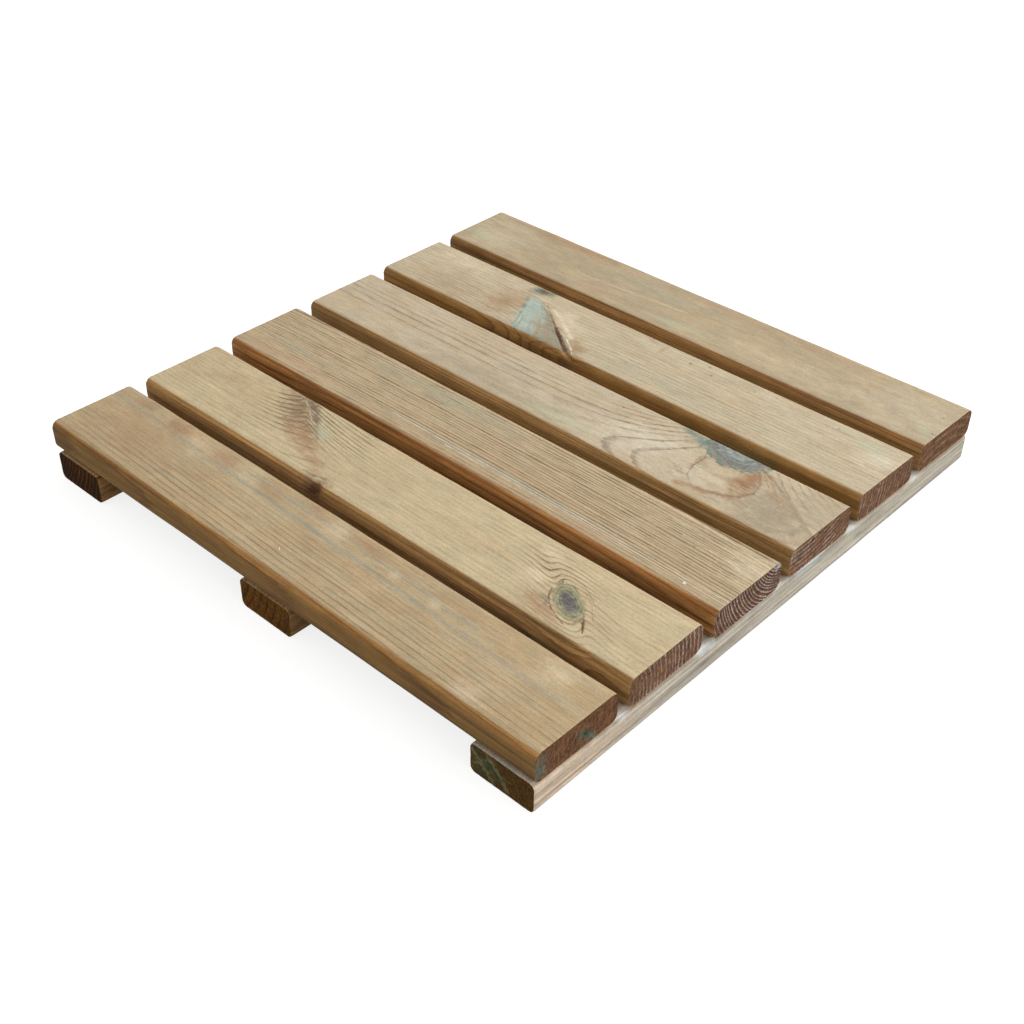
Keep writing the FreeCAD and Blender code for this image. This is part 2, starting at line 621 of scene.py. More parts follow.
    def knot_wood(self) -> bpy.types.NodeTree:
        """A knot's core, its own rings, and the bark line at its rim."""
        made = SharedGroup(
            "knot_wood",
            (("Place", VECTOR), ("Centre", VECTOR), ("Half Size", VECTOR), ("Turn", FLOAT)),
            (("Body", FLOAT), ("Core", FLOAT), ("Rings", FLOAT), ("Rim", FLOAT)),
        )
        wiring, place = made.wiring, made.give("Place")
        apart = wiring.vector("SUBTRACT", place, made.give("Centre"))
        back = wiring.math("MULTIPLY", made.give("Turn"), -1.0)
        feeds = {"Vector": apart, "Angle": back}
        own = wiring.add("ShaderNodeVectorRotate", feeds, rotation_type="Z_AXIS").outputs[0]
        scaled = wiring.vector("DIVIDE", own, made.give("Half Size"))
        length = wiring.add("ShaderNodeVectorMath", {0: scaled}, operation="LENGTH").outputs["Value"]
        uneven = wiring.between(wiring.noise(place, (9.0, 6.0, 6.0), 4.0, 0.6), -0.2, 0.2)
        reach = wiring.math("ADD", length, uneven)
        made.put("Body", wiring.math("SUBTRACT", 1.0, wiring.step(reach, 0.84, 1.06)))
        blur = wiring.between(wiring.noise(place, (4.0, 3.0, 3.0), 4.0, 0.7), -0.5, 0.5)
        made.put("Core", wiring.math("SUBTRACT", 1.0, wiring.step(wiring.math("ADD", reach, blur), 0.3, 0.85)))
        waves = wiring.math("SINE", wiring.math("MULTIPLY", reach, 30.0))
        mottle = wiring.noise(place, (2.6, 1.6, 1.6), 4.0, 0.7)
        made.put("Rings", wiring.math("ADD", wiring.between(mottle, -0.7, 1.7), wiring.between(waves, 0.0, 0.2)))
        rim = wiring.math("ABSOLUTE", wiring.math("SUBTRACT", reach, 0.98))
        broken = wiring.step(wiring.noise(place, (7.0, 4.0, 4.0), 2.0), 0.44, 0.56)
        rim = wiring.math("SUBTRACT", 1.0, wiring.step(rim, 0.03, 0.12))
        made.put("Rim", wiring.math("MULTIPLY", rim, broken))
        return made.tree

    def spike_knot(self) -> bpy.types.NodeTree:
        """A wedge between two lines from one point, with streaks that fan out from that point."""
        made = SharedGroup(
            "spike_knot",
            (
                ("Place", VECTOR),
                ("Apex", VECTOR),
                ("Left", VECTOR),
                ("Right", VECTOR),
                ("Head", FLOAT),
                ("Ragged", FLOAT),
            ),
            (("Mask", FLOAT), ("Fan", FLOAT), ("Streak", FLOAT)),
        )
        wiring, apex = made.wiring, made.give("Apex")
        flat = wiring.vector("MULTIPLY", made.give("Place"), (1.0, 1.0, 0.0))
        apart = wiring.vector("SUBTRACT", flat, apex)
        left = wiring.vector("SUBTRACT", made.give("Left"), apex)
        right = wiring.vector("SUBTRACT", made.give("Right"), apex)
        areas = []
        for pair in ((apart, right), (left, apart), (left, right)):
            crossed = wiring.vector("CROSS_PRODUCT", *pair)
            areas.append(wiring.add("ShaderNodeSeparateXYZ", {0: crossed}).outputs[2])
        to_left = wiring.math("DIVIDE", areas[0], areas[2])
        to_right = wiring.math("DIVIDE", areas[1], areas[2])
        ahead = wiring.math("ADD", to_left, to_right)
        fan = wiring.math("DIVIDE", to_right, wiring.math("MAXIMUM", ahead, 0.02))
        edge = wiring.math("MULTIPLY", made.give("Ragged"), 0.09)
        inside = wiring.step(wiring.math("ADD", to_left, edge), -0.02, 0.03)
        inside = wiring.math("MULTIPLY", inside, wiring.step(wiring.math("ADD", to_right, edge), -0.02, 0.03))
        head = wiring.step(wiring.math("ADD", ahead, edge), made.give("Head"), 0.3)
        inside = wiring.math("MULTIPLY", inside, head)
        feeds = {0: wiring.math("MULTIPLY", fan, 22.0), 1: wiring.math("MULTIPLY", ahead, 2.2), 2: 0.0}
        spread = wiring.add("ShaderNodeCombineXYZ", feeds).outputs[0]
        streak = wiring.add("ShaderNodeTexNoise", {"Vector": spread, "Scale": 1.0, "Detail": 4.0})
        made.put("Mask", inside)
        made.put("Fan", fan)
        made.put("Streak", streak.outputs["Fac"])
        return made.tree

    def saw_marks(self) -> bpy.types.NodeTree:
        """Slanting scratches of the saw across an end, with crumbled specks."""
        made = SharedGroup("saw_marks", (("Place", VECTOR),), (("Scratch", FLOAT), ("Speck", FLOAT)))
        wiring = made.wiring
        feeds = {"Vector": made.give("Place"), "Angle": math.radians(28.0)}
        leaned = wiring.add("ShaderNodeVectorRotate", feeds, rotation_type="X_AXIS").outputs[0]
        made.put("Scratch", wiring.noise(leaned, (40.0, 1.6, 9.0), 3.0, 0.6))
        made.put("Speck", wiring.noise(leaned, (6.0, 1.7, 2.6), 5.0, 0.75))
        return made.tree


@dataclass(frozen=True)
class TimberFinish:
    """The look of one bar: its wood on the weathered face, on its sides and at its sawn ends."""

    early: Colour
    late: Colour
    # side and side_late: the sides' own brown, painted lighter on the boards behind the front one to make up for the
    # shade in the gaps between boards
    side: Colour
    side_late: Colour
    end: Colour
    end_late: Colour
    soaked: Colour = (0.10, 0.05, 0.025, 1.0)
    blush: Colour = (0.475, 0.35, 0.205, 1.0)
    wash: Colour = (0.42, 0.39, 0.26, 1.0)
    accent_late: Colour = (0.20, 0.13, 0.08, 1.0)
    line_strength: float = 0.85
    blush_strength: float = 0.4
    wash_strength: float = 0.18
    end_line_strength: float = 0.6
    end_ring_scale: float = 1.0
    early_share: float = 0.5
    side_blush: float = 0.3
    # rounding: painted light and shade, multiplied into the side colour where the surface turns up at the roundings
    rounding: Colour = (0.88, 0.78, 0.69, 1.0)
    marks: tuple[Spot | Stroke | SpikeKnot, ...] = ()
    deep_marks: tuple[Spot | Stroke, ...] = ()
    end_marks: tuple[Spot | Stroke, ...] = ()


class TimberPainter:
    """Makes the two materials of a bar from its finish and its knots."""

    ROUGHNESS = 0.72
    END_ROUGHNESS = 0.86
    TOP_SHINE = 0.2
    END_SHINE = 0.08

    def __init__(self, effects: WoodEffects) -> None:
        """Takes the shared wood effects."""
        self.effects = effects

    def start(self, name: str, bar: "TimberBar") -> tuple[bpy.types.Material, Wiring, Socket]:
        """An empty material and the place on the bar, in millimetres along, across and up."""
        material = bpy.data.materials.new(name)
        material.use_nodes = True
        material.node_tree.nodes.clear()
        wiring = Wiring(material.node_tree)
        seen = wiring.add("ShaderNodeTexCoord").outputs["Object"]
        scaled = wiring.vector("SCALE", seen)
        scaled.node.inputs["Scale"].default_value = 1.0 / MM
        apart = wiring.vector("SUBTRACT", scaled, tuple(bar.corner))
        parts = wiring.add("ShaderNodeSeparateXYZ", {0: apart}).outputs
        if bar.runs is Run.ALONG_X:
            own = {0: parts[0], 1: parts[1], 2: parts[2]}
        else:
            own = {0: parts[1], 1: wiring.math("MULTIPLY", parts[0], -1.0), 2: parts[2]}
        return material, wiring, wiring.add("ShaderNodeCombineXYZ", own).outputs[0]

    def lay_marks(
        self, wiring: Wiring, place: Socket, ragged: Socket, colour: Socket, marks: tuple
    ) -> Socket:
        """Lays each stain and streak, and the few painted highlights, over a colour."""
        frayed = wiring.between(wiring.noise(place, (4.5, 2.6, 2.6), 4.0, 0.6), -1.2, 1.2)
        for mark in marks:
            if isinstance(mark, Spot):
                feeds = {
                    "Place": place,
                    "Centre": (mark.along, mark.across, mark.up),
                    "Half Size": (mark.half_length, mark.half_width, mark.half_depth),
                    "Turn": math.radians(mark.turn),
                    "Softness": mark.softness,
                    "Ragged": ragged,
                }
                mask = wiring.group(self.effects.spot, feeds).outputs["Mask"]
            elif isinstance(mark, SpikeKnot):
                colour = self.lay_spike(wiring, place, ragged, colour, mark)
                continue
            else:
                feeds = {
                    "Place": place,
                    "Start": (*mark.start, 0.0),
                    "End": (*mark.end, 0.0),
                    "Start Width": mark.start_width,
                    "End Width": mark.half_width,
                    "Softness": mark.softness,
                    "Ragged": frayed,
                }
                mask = wiring.group(self.effects.stroke, feeds).outputs["Mask"]
            colour = wiring.tint(wiring.math("MULTIPLY", mask, mark.strength), colour, mark.tone.rgba())
        return colour

    def lay_spike(
        self, wiring: Wiring, place: Socket, ragged: Socket, colour: Socket, spike: SpikeKnot
    ) -> Socket:
        """Lays a branch cut lengthwise over a colour."""
        feeds = {
            "Place": place,
            "Apex": (*spike.apex, 0.0),
            "Left": (*spike.left_foot, 0.0),
            "Right": (*spike.right_foot, 0.0),
            "Head": spike.head,
            "Ragged": ragged,
        }
        made = wiring.group(self.effects.spike, feeds).outputs
        change = wiring.math("ADD", made["Fan"], wiring.between(made["Streak"], -0.9, 0.9))
        body = wiring.tint(wiring.step(change, 0.3, 0.75), spike.left_tone.rgba(), spike.right_tone.rgba())
        lit = wiring.vector("SCALE", body)
        wiring.tree.links.new(wiring.between(made["Streak"], 0.25, 1.75), lit.node.inputs["Scale"])
        return wiring.tint(wiring.math("MULTIPLY", made["Mask"], spike.strength), colour, lit)

    def lay_knots(self, wiring: Wiring, place: Socket, colour: Socket, knots: tuple) -> Socket:
        """Lays each knot's body, core and bark line over a colour."""
        for knot in knots:
            feeds = {
                "Place": place,
                "Centre": (knot.along, knot.across, 25.0),
                "Half Size": (knot.half_length, knot.half_width, 60.0),
                "Turn": math.radians(knot.turn),
            }
            made = wiring.group(self.effects.knot, feeds).outputs
            body = wiring.tint(made["Core"], knot.flesh.rgba(), knot.core.rgba())
            lit = wiring.vector("SCALE", body)
            wiring.tree.links.new(wiring.between(made["Rings"], 0.55, 1.35), lit.node.inputs["Scale"])
            colour = wiring.tint(wiring.math("MULTIPLY", made["Body"], knot.strength), colour, lit)
            colour = wiring.tint(wiring.math("MULTIPLY", made["Rim"], knot.strength), colour, knot.rim.rgba())
        return colour

    def face(self, bar: "TimberBar") -> bpy.types.Material:
        """The long faces: pale and weathered on top, browner round the edges and down the sides, with painted light
        and shade on the roundings and painted light on the sides in the gaps.
        """
        finish = bar.finish
        material, wiring, place = self.start(f"{bar.node}_grain", bar)
        ring = wiring.add("ShaderNodeAttribute", attribute_name="ring").outputs["Fac"]
        shade = wiring.add("ShaderNodeAttribute", attribute_name="side").outputs["Fac"]
        feeds = {"Ring": ring, "Place": place, "Early Share": finish.early_share}
        rings = wiring.group(self.effects.rings, feeds).outputs
        shifted = wiring.vector("ADD", place, (bar.figure.seed * 91.0, bar.figure.seed * 37.0, 0.0))
        fibres = wiring.group(self.effects.fibres, {"Place": shifted}).outputs
        blotches = wiring.group(self.effects.blotches, {"Place": shifted}).outputs

        accent = wiring.add("ShaderNodeAttribute", attribute_name="accent").outputs["Fac"]
        plain_late = wiring.math("MULTIPLY", rings["Late"], finish.line_strength)
        late = wiring.tint(accent, plain_late, rings["Strong"])
        top = wiring.tint(wiring.math("MULTIPLY", blotches["Wide"], finish.blush_strength), finish.early, finish.blush)
        dull = wiring.math("MULTIPLY", blotches["Narrow"], finish.wash_strength)
        top = wiring.tint(dull, top, finish.wash)
        top = wiring.tint(late, top, wiring.tint(accent, finish.late, finish.accent_late))
        side = wiring.tint(wiring.math("MULTIPLY", rings["Edge"], 0.8), finish.side, finish.side_late)
        side = wiring.tint(
            wiring.math("MULTIPLY", blotches["Narrow"], finish.side_blush), side, finish.side_late
        )
        # Painted light and shade: the rounding tint lightens or darkens the sides' colour where the surface turns up.
        turned_up = wiring.add("ShaderNodeAttribute", attribute_name="turned_up").outputs["Fac"]
        side = wiring.tint(turned_up, side, finish.rounding, "MULTIPLY")
        ragged = wiring.between(wiring.noise(place, (11.0, 5.5, 5.5), 5.0, 0.65), -0.9, 0.9)
        top = self.lay_marks(wiring, place, ragged, top, finish.marks)
        colour = wiring.tint(shade, top, side)
        colour = self.lay_marks(wiring, place, ragged, colour, finish.deep_marks)
        colour = self.lay_knots(wiring, place, colour, bar.figure.knots)
        bands = wiring.noise(shifted, (300.0, 60.0, 3.4), 4.0)
        lines = wiring.noise(shifted, (120.0, 60.0, 0.8), 3.0)
        side_light = wiring.math("ADD", wiring.between(bands, -0.5, 1.5), wiring.between(lines, -0.3, 1.3))
        light = wiring.math("MULTIPLY", fibres["Light"], wiring.tint(shade, (1.0, 1.0, 1.0, 1.0), side_light))
        lit = wiring.vector("SCALE", colour)
        wiring.tree.links.new(light, lit.node.inputs["Scale"])
        colour = wiring.tint(wiring.math("MULTIPLY", fibres["Dash"], 0.3), lit, Tone.UMBER.rgba())

        height = wiring.math("ADD", wiring.math("MULTIPLY", fibres["Streak"], 0.6), rings["Late"])
        height = wiring.math("SUBTRACT", height, wiring.math("MULTIPLY", fibres["Dash"], 0.7))
        bump = wiring.add("ShaderNodeBump", {"Strength": 0.35, "Distance": 0.0004, "Height": height})
        rough = wiring.between(fibres["Streak"], self.ROUGHNESS - 0.1, self.ROUGHNESS + 0.1)
        self.finish_material(wiring, colour, rough, bump, self.TOP_SHINE)
        return material

    def end(self, bar: "TimberBar") -> bpy.types.Material:
        """The sawn ends: rough dark end grain crossed by paler ring edges."""
        finish = bar.finish
        material, wiring, place = self.start(f"{bar.node}_end_grain", bar)
        ring = wiring.add("ShaderNodeAttribute", attribute_name="ring").outputs["Fac"]
        ring = wiring.math("MULTIPLY", ring, finish.end_ring_scale)
        feeds = {"Ring": ring, "Place": place, "Early Share": 0.5}
        edge = wiring.group(self.effects.rings, feeds).outputs["Edge"]
        shifted = wiring.vector("ADD", place, (0.0, bar.figure.seed * 53.0, 0.0))
        saw = wiring.group(self.effects.saw, {"Place": shifted}).outputs
        blotches = wiring.group(self.effects.blotches, {"Place": shifted}).outputs
        lines = wiring.math("MULTIPLY", edge, wiring.between(blotches["Wide"], 1.0, 0.45))
        colour = wiring.tint(wiring.math("MULTIPLY", blotches["Narrow"], 0.45), finish.end, finish.soaked)
        colour = wiring.tint(wiring.math("MULTIPLY", lines, finish.end_line_strength), colour, finish.end_late)
        parts = wiring.add("ShaderNodeSeparateXYZ", {0: place}).outputs
        seen = {0: parts[1], 1: parts[2], 2: Spot.up}
        on_end = wiring.add("ShaderNodeCombineXYZ", seen).outputs[0]
        ragged = wiring.between(wiring.noise(place, (5.0, 3.2, 3.2), 4.0, 0.65), -1.3, 1.3)
        if bar.runs is Run.ALONG_X:
            near_camera = wiring.math("GREATER_THAN", parts[0], 0.0)
        else:
            near_camera = wiring.math("LESS_THAN", parts[0], 0.0)
        marked = self.lay_marks(wiring, on_end, ragged, colour, finish.end_marks)
        colour = wiring.tint(near_camera, colour, marked)
        grain = wiring.math("MULTIPLY", saw["Speck"], wiring.between(saw["Scratch"], 0.6, 1.4))
        lit = wiring.vector("SCALE", colour)
        wiring.tree.links.new(wiring.between(grain, -1.0, 3.0), lit.node.inputs["Scale"])
        height = wiring.math("ADD", saw["Speck"], wiring.math("MULTIPLY", edge, 0.5))
        bump = wiring.add("ShaderNodeBump", {"Strength": 0.5, "Distance": 0.0006, "Height": height})
        rough = wiring.between(saw["Scratch"], self.END_ROUGHNESS - 0.06, self.END_ROUGHNESS + 0.06)
        self.finish_material(wiring, lit, rough, bump, self.END_SHINE)
        return material

    def finish_material(
        self, wiring: Wiring, colour: Socket, rough: Socket, bump: bpy.types.Node, shine: float
    ) -> None:
        """Joins colour, roughness, bump and shine to the surface."""
        feeds = {
            "Base Color": colour,
            "Roughness": rough,
            "Normal": bump.outputs[0],
            "Specular IOR Level": shine,
        }
        shader = wiring.add("ShaderNodeBsdfPrincipled", feeds)
        wiring.add("ShaderNodeOutputMaterial", {"Surface": shader.outputs[0]})


class Run(Enum):
    """Which way a bar lies."""

    ALONG_X = "boards"
    ALONG_Y = "bearers"


@dataclass(frozen=True)
class SectionCells:
    """How finely a bar's outline is divided."""

    top: int
    bottom: int
    side: int
    corner: int


@dataclass
class TimberBar:
    """One board or bearer: an eased bar with worn edges, raised grain and sawn ends."""

    node: str
    edge_radius: float
    figure: Figure
    finish: TimberFinish
    runs: Run = Run.ALONG_X
    cells: SectionCells = SectionCells(60, 26, 9, 6)
    station_step: float = 1.15
    start_skew: float = 0.0
    end_skew: float = 0.0
    pits: tuple[Point, ...] = ()

    ARRIS_STATIONS = (0.0, 0.35, 0.9, 1.7)
    ARRIS_WEAR = 0.45
    CAP_STEP = 1.25
    RAISED_GRAIN = 0.11
    UNDULATION = 0.14
    FLAT_LOSS = 0.03
    PIT_HALF_LENGTH = 6.4
    PIT_HALF_WIDTH = 2.1
    PIT_DEPTH = 1.5
    PIT_DENSITY = 2.2
    PIT_WINDOW = 6.5

    def __post_init__(self) -> None:
        """Reads the bar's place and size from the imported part."""
        low, high = (np.array(corner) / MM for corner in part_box(self.node))
        size = high - low
        if self.runs is Run.ALONG_X:
            self.corner = np.array([0.0, low[1], low[2]])
            self.axes = np.array([(1.0, 0.0, 0.0), (0.0, 1.0, 0.0), (0.0, 0.0, 1.0)])
            self.span, self.width = (low[0], high[0]), size[1]
        else:
            self.corner = np.array([high[0], 0.0, low[2]])
            self.axes = np.array([(0.0, 1.0, 0.0), (-1.0, 0.0, 0.0), (0.0, 0.0, 1.0)])
            self.span, self.width = (low[1], high[1]), size[0]
        self.thickness = size[2]

    def outline(self) -> tuple[np.ndarray, np.ndarray]:
        """Goes round the eased section once.

        Returns:
            The points across and up, and the direction that each faces.
        """
        radius, cells = self.edge_radius, self.cells
        far, top = self.width - radius, self.thickness - radius
        corners = ((far, radius), (far, top), (radius, top), (radius, radius))
        counts = (cells.side, cells.top, cells.side, cells.bottom)
        points, facings = [], []
        for number, ((across, up), count) in enumerate(zip(corners, counts)):
            angles = np.radians((number - 1) * 90.0 + np.linspace(0.0, 90.0, cells.corner + 1))
            facing = np.stack([np.cos(angles), np.sin(angles)], axis=1)
            arc = np.array([across, up]) + radius * facing
            following = corners[(number + 1) % 4]
            beyond = np.array(following) + radius * facing[-1]
            shares = np.linspace(0.0, 1.0, count + 1)[1:-1, None]
            points += [arc, arc[-1] + shares * (beyond - arc[-1])]
            facings += [facing, np.repeat(facing[-1:], count - 1, axis=0)]
        return np.concatenate(points), np.concatenate(facings)

    def stations(self) -> np.ndarray:
        """The places along the bar where its section is drawn, closer together at the ends."""
        low, high = self.span
        near = np.array(self.ARRIS_STATIONS)
        inner = near[-1] + self.station_step
        ruler = np.linspace(low + inner, high - inner, 5000)
        density = np.ones(len(ruler))
        for along, _ in self.pits:
            density[np.abs(ruler - along) < self.PIT_WINDOW] = self.PIT_DENSITY
        number = np.concatenate(([0.0], np.cumsum(density[1:])))
        count = round((high - low - 2.0 * inner) / self.station_step)
        middle = np.interp(np.linspace(0.0, number[-1], count + 1), number, ruler)
        return np.concatenate([low + near, middle, (high - near)[::-1]])

    def squared(self, stations: np.ndarray, across: np.ndarray) -> np.ndarray:
        """Moves stations so that the ends lean as they were sawn, and stay inside the span."""
        low, high = self.span
        start = low + abs(self.start_skew) * np.where(self.start_skew > 0.0, across, self.width - across)
        end = high - abs(self.end_skew) * np.where(self.end_skew > 0.0, self.width - across, across)
        return start + (stations - low) / (high - low) * (end - start)

    def relief(self, places: np.ndarray, rings: np.ndarray, facings: np.ndarray) -> np.ndarray:
        """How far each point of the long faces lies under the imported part's surface."""
        along, across, up = places.T
        grit = Grit(self.figure.seed + 100)
        depth = self.FLAT_LOSS + self.RAISED_GRAIN * (1.0 - self.figure.latewood(rings))
        depth += self.UNDULATION * (0.5 + 0.5 * grit.at(places, (70.0, 26.0, 26.0)))
        edge = np.minimum(np.abs(facings[:, 0]), np.abs(facings[:, 1]))
        depth += 0.5 * edge * (0.5 + 0.5 * grit.at(places + 300.0, (30.0, 12.0, 12.0)))
        low, high = self.span
        from_end = np.minimum(along - low, high - along)
        ragged = 0.35 + 0.65 * (0.5 + 0.5 * grit.at(places + 700.0, (3.0, 1.5, 1.5)))
        depth += self.ARRIS_WEAR * ragged * smooth(1.3, 0.0, from_end)
        seen_on_top = smooth(0.2, 0.8, facings[:, 1])
        for hollow in self.figure.hollows:
            depth += hollow.sink(along, across) * seen_on_top
        for knot in self.figure.knots:
            distance = knot.distance(along, across)[0]
            groove = np.exp(-(((distance - 0.98) / 0.09) ** 2))
            depth += 0.5 * groove * (0.5 + 0.5 * grit.at(places, (6.0, 4.0, 4.0))) * seen_on_top
        return depth + self.crushed(places) * smooth(-0.5, -0.95, facings[:, 1])

    def crushed(self, places: np.ndarray) -> np.ndarray:
        """How deep the staples' crowns have pressed into the underside at each point."""
        depth = np.zeros(len(places))
        turn = math.radians(StapleSet.turn)
        for along, across in self.pits:
            ahead, aside = places[:, 0] - along, places[:, 1] - across
            long_way = np.abs(ahead * math.sin(turn) - aside * math.cos(turn))
            short_way = np.abs(ahead * math.cos(turn) + aside * math.sin(turn))
            inside = smooth(self.PIT_HALF_LENGTH + 1.0, self.PIT_HALF_LENGTH - 0.4, long_way)
            depth += inside * smooth(self.PIT_HALF_WIDTH + 1.0, self.PIT_HALF_WIDTH - 0.6, short_way)
        return self.PIT_DEPTH * np.minimum(depth, 1.0)

    def end_cap(self, rim: np.ndarray) -> tuple[np.ndarray, list[list[int]]]:
        """Fills an end with small triangles.

        Args:
            rim: The points across and up of the end's edge.

        Returns:
            The points inside the edge, and the triangles over the edge's points and then these.
        """
        rng = np.random.default_rng(self.figure.seed)
        across = np.arange(self.CAP_STEP, self.width, self.CAP_STEP)
        up = np.arange(self.CAP_STEP, self.thickness, self.CAP_STEP)
        inner = np.stack(np.meshgrid(across, up), axis=-1).reshape(-1, 2)
        inner += rng.uniform(-0.3, 0.3, inner.shape)
        gaps = np.hypot(*(inner[:, None, :] - rim[None, :, :]).transpose(2, 0, 1)).min(axis=1)
        middle = np.array([self.width, self.thickness]) / 2.0
        box = middle - self.edge_radius
        out = np.hypot(*np.maximum(np.abs(inner - middle) - box, 0.0).T)
        inner = inner[(gaps > 0.75) & (out < self.edge_radius - 0.6)]
        points = [Vector(point) for point in np.concatenate([rim, inner])]
        count = len(rim)
        loop = [(index, (index + 1) % count) for index in range(count)]
        made = delaunay_2d_cdt(points, loop, [], 1, 1e-5)
        origin = [ids[0] for ids in made[3]]
        faces = [[origin[index] for index in face] for face in made[2]]
        return inner, faces

    def build(self) -> bpy.types.Object:
        """Makes the bar's mesh and its object."""
        outline, facings = self.outline()
        stations = self.stations()
        count, rows = len(outline), len(stations)
        places = np.zeros((rows, count, 3))
        places[:, :, 1:] = outline
        places[:, :, 0] = self.squared(stations[:, None], outline[None, :, 0])
        places = places.reshape(-1, 3)
        directions = np.tile(facings, (rows, 1))
        rings = self.figure.ring_number(places)
        depth = self.relief(places, rings, directions)
        moved = places.copy()
        moved[:, 1:] -= directions * depth[:, None]

        index = np.arange(rows * count).reshape(rows, count)
        ahead = np.roll(index, -1, axis=1)
        quads = np.stack([index[:-1], ahead[:-1], ahead[1:], index[1:]], axis=-1).reshape(-1, 4)
        points, faces, kinds = [moved], [*quads.tolist()], [Part.FACE.value] * len(quads)
        ring_values, sides = [rings], [self.side_share(directions)]
        accents = [self.figure.accent(places)]
        # How far each point turns up: the share that takes the rounding's painted light and shade.
        turned_up = [smooth(0.05, 0.5, directions[:, 1])]
        total = len(moved)
        grit = Grit(self.figure.seed + 200)
        for row, outwards in ((rows - 1, 1), (0, -1)):
            first = row * count
            rim = moved[first : first + count, 1:]
            inner, triangles = self.end_cap(rim)
            cap = np.zeros((len(inner), 3))
            cap[:, 1:] = inner
            cap[:, 0] = self.squared(np.full(len(inner), stations[row]), inner[:, 0])
            cap_rings = self.figure.ring_number(cap)
            rough = 0.5 + 0.5 * grit.at(cap, (3.0, 1.6, 3.0))
            cap[:, 0] -= outwards * (0.05 + 0.3 * rough + 0.15 * (1.0 - self.figure.latewood(cap_rings)))
            turn = 1 if outwards > 0 else -1
            for triangle in triangles:
                own = [first + item if item < count else total + item - count for item in triangle]
                faces.append(own[::turn])
            kinds += [Part.END.value] * len(triangles)
            points.append(cap)
            ring_values.append(cap_rings)
            sides.append(np.ones(len(cap)))
            turned_up.append(np.zeros(len(cap)))
            accents.append(self.figure.accent(cap))
            total += len(cap)
        vertices = (self.corner + np.concatenate(points) @ self.axes) * MM
        mesh = bpy.data.meshes.new(f"{self.node}_timber")
        mesh.from_pydata(vertices.tolist(), [], faces)
        kept = {"ring": ring_values, "side": sides, "accent": accents, "turned_up": turned_up}
        for name, values in kept.items():
            layer = mesh.attributes.new(name, "FLOAT", "POINT")
            layer.data.foreach_set("value", np.concatenate(values))
        mesh.polygons.foreach_set("material_index", kinds)
        mesh.polygons.foreach_set("use_smooth", [True] * len(faces))
        self.sharpen_rims(mesh, kinds)
        mesh.update()
        piece = bpy.data.objects.new(f"{self.node}_timber", mesh)
        bpy.context.scene.collection.objects.link(piece)
        return piece

    def side_share(self, facings: np.ndarray) -> np.ndarray:
        """How much of the side's colour each point has, from 0 on top to 1 below the rounding.

        The back roundings stay pale further down: a painted highlight where the back edges catch the light.
        """
        front = smooth(0.95, 0.89, facings[:, 1])
        # painted highlight: the back roundings keep the pale top colour down to a lower slope than the front ones
        back = smooth(0.7, 0.2, facings[:, 1])
        return np.where(facings[:, 0] < 0.0, front, back)

    def sharpen_rims(self, mesh: bpy.types.Mesh, kinds: list[int]) -> None:
        """Marks the edges between the ends and the long faces as sharp."""
        ends = set()
        longs = set()
        for polygon, kind in zip(mesh.polygons, kinds):
            (ends if kind == Part.END.value else longs).update(polygon.edge_keys)
        rim = ends & longs
        sharp = [tuple(sorted(edge.vertices)) in rim for edge in mesh.edges]
        mesh.attributes.new("sharp_edge", "BOOLEAN", "EDGE").data.foreach_set("value", sharp)

    def dress(self, painter: TimberPainter) -> bpy.types.Object:
        """Builds the bar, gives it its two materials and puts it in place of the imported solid."""
        piece = self.build()
        piece.data.materials.append(painter.face(self))
        piece.data.materials.append(painter.end(self))
        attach(piece, BODY)
        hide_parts(self.node)
        log.info("%s: %d faces", piece.name, len(piece.data.polygons))
        return piece


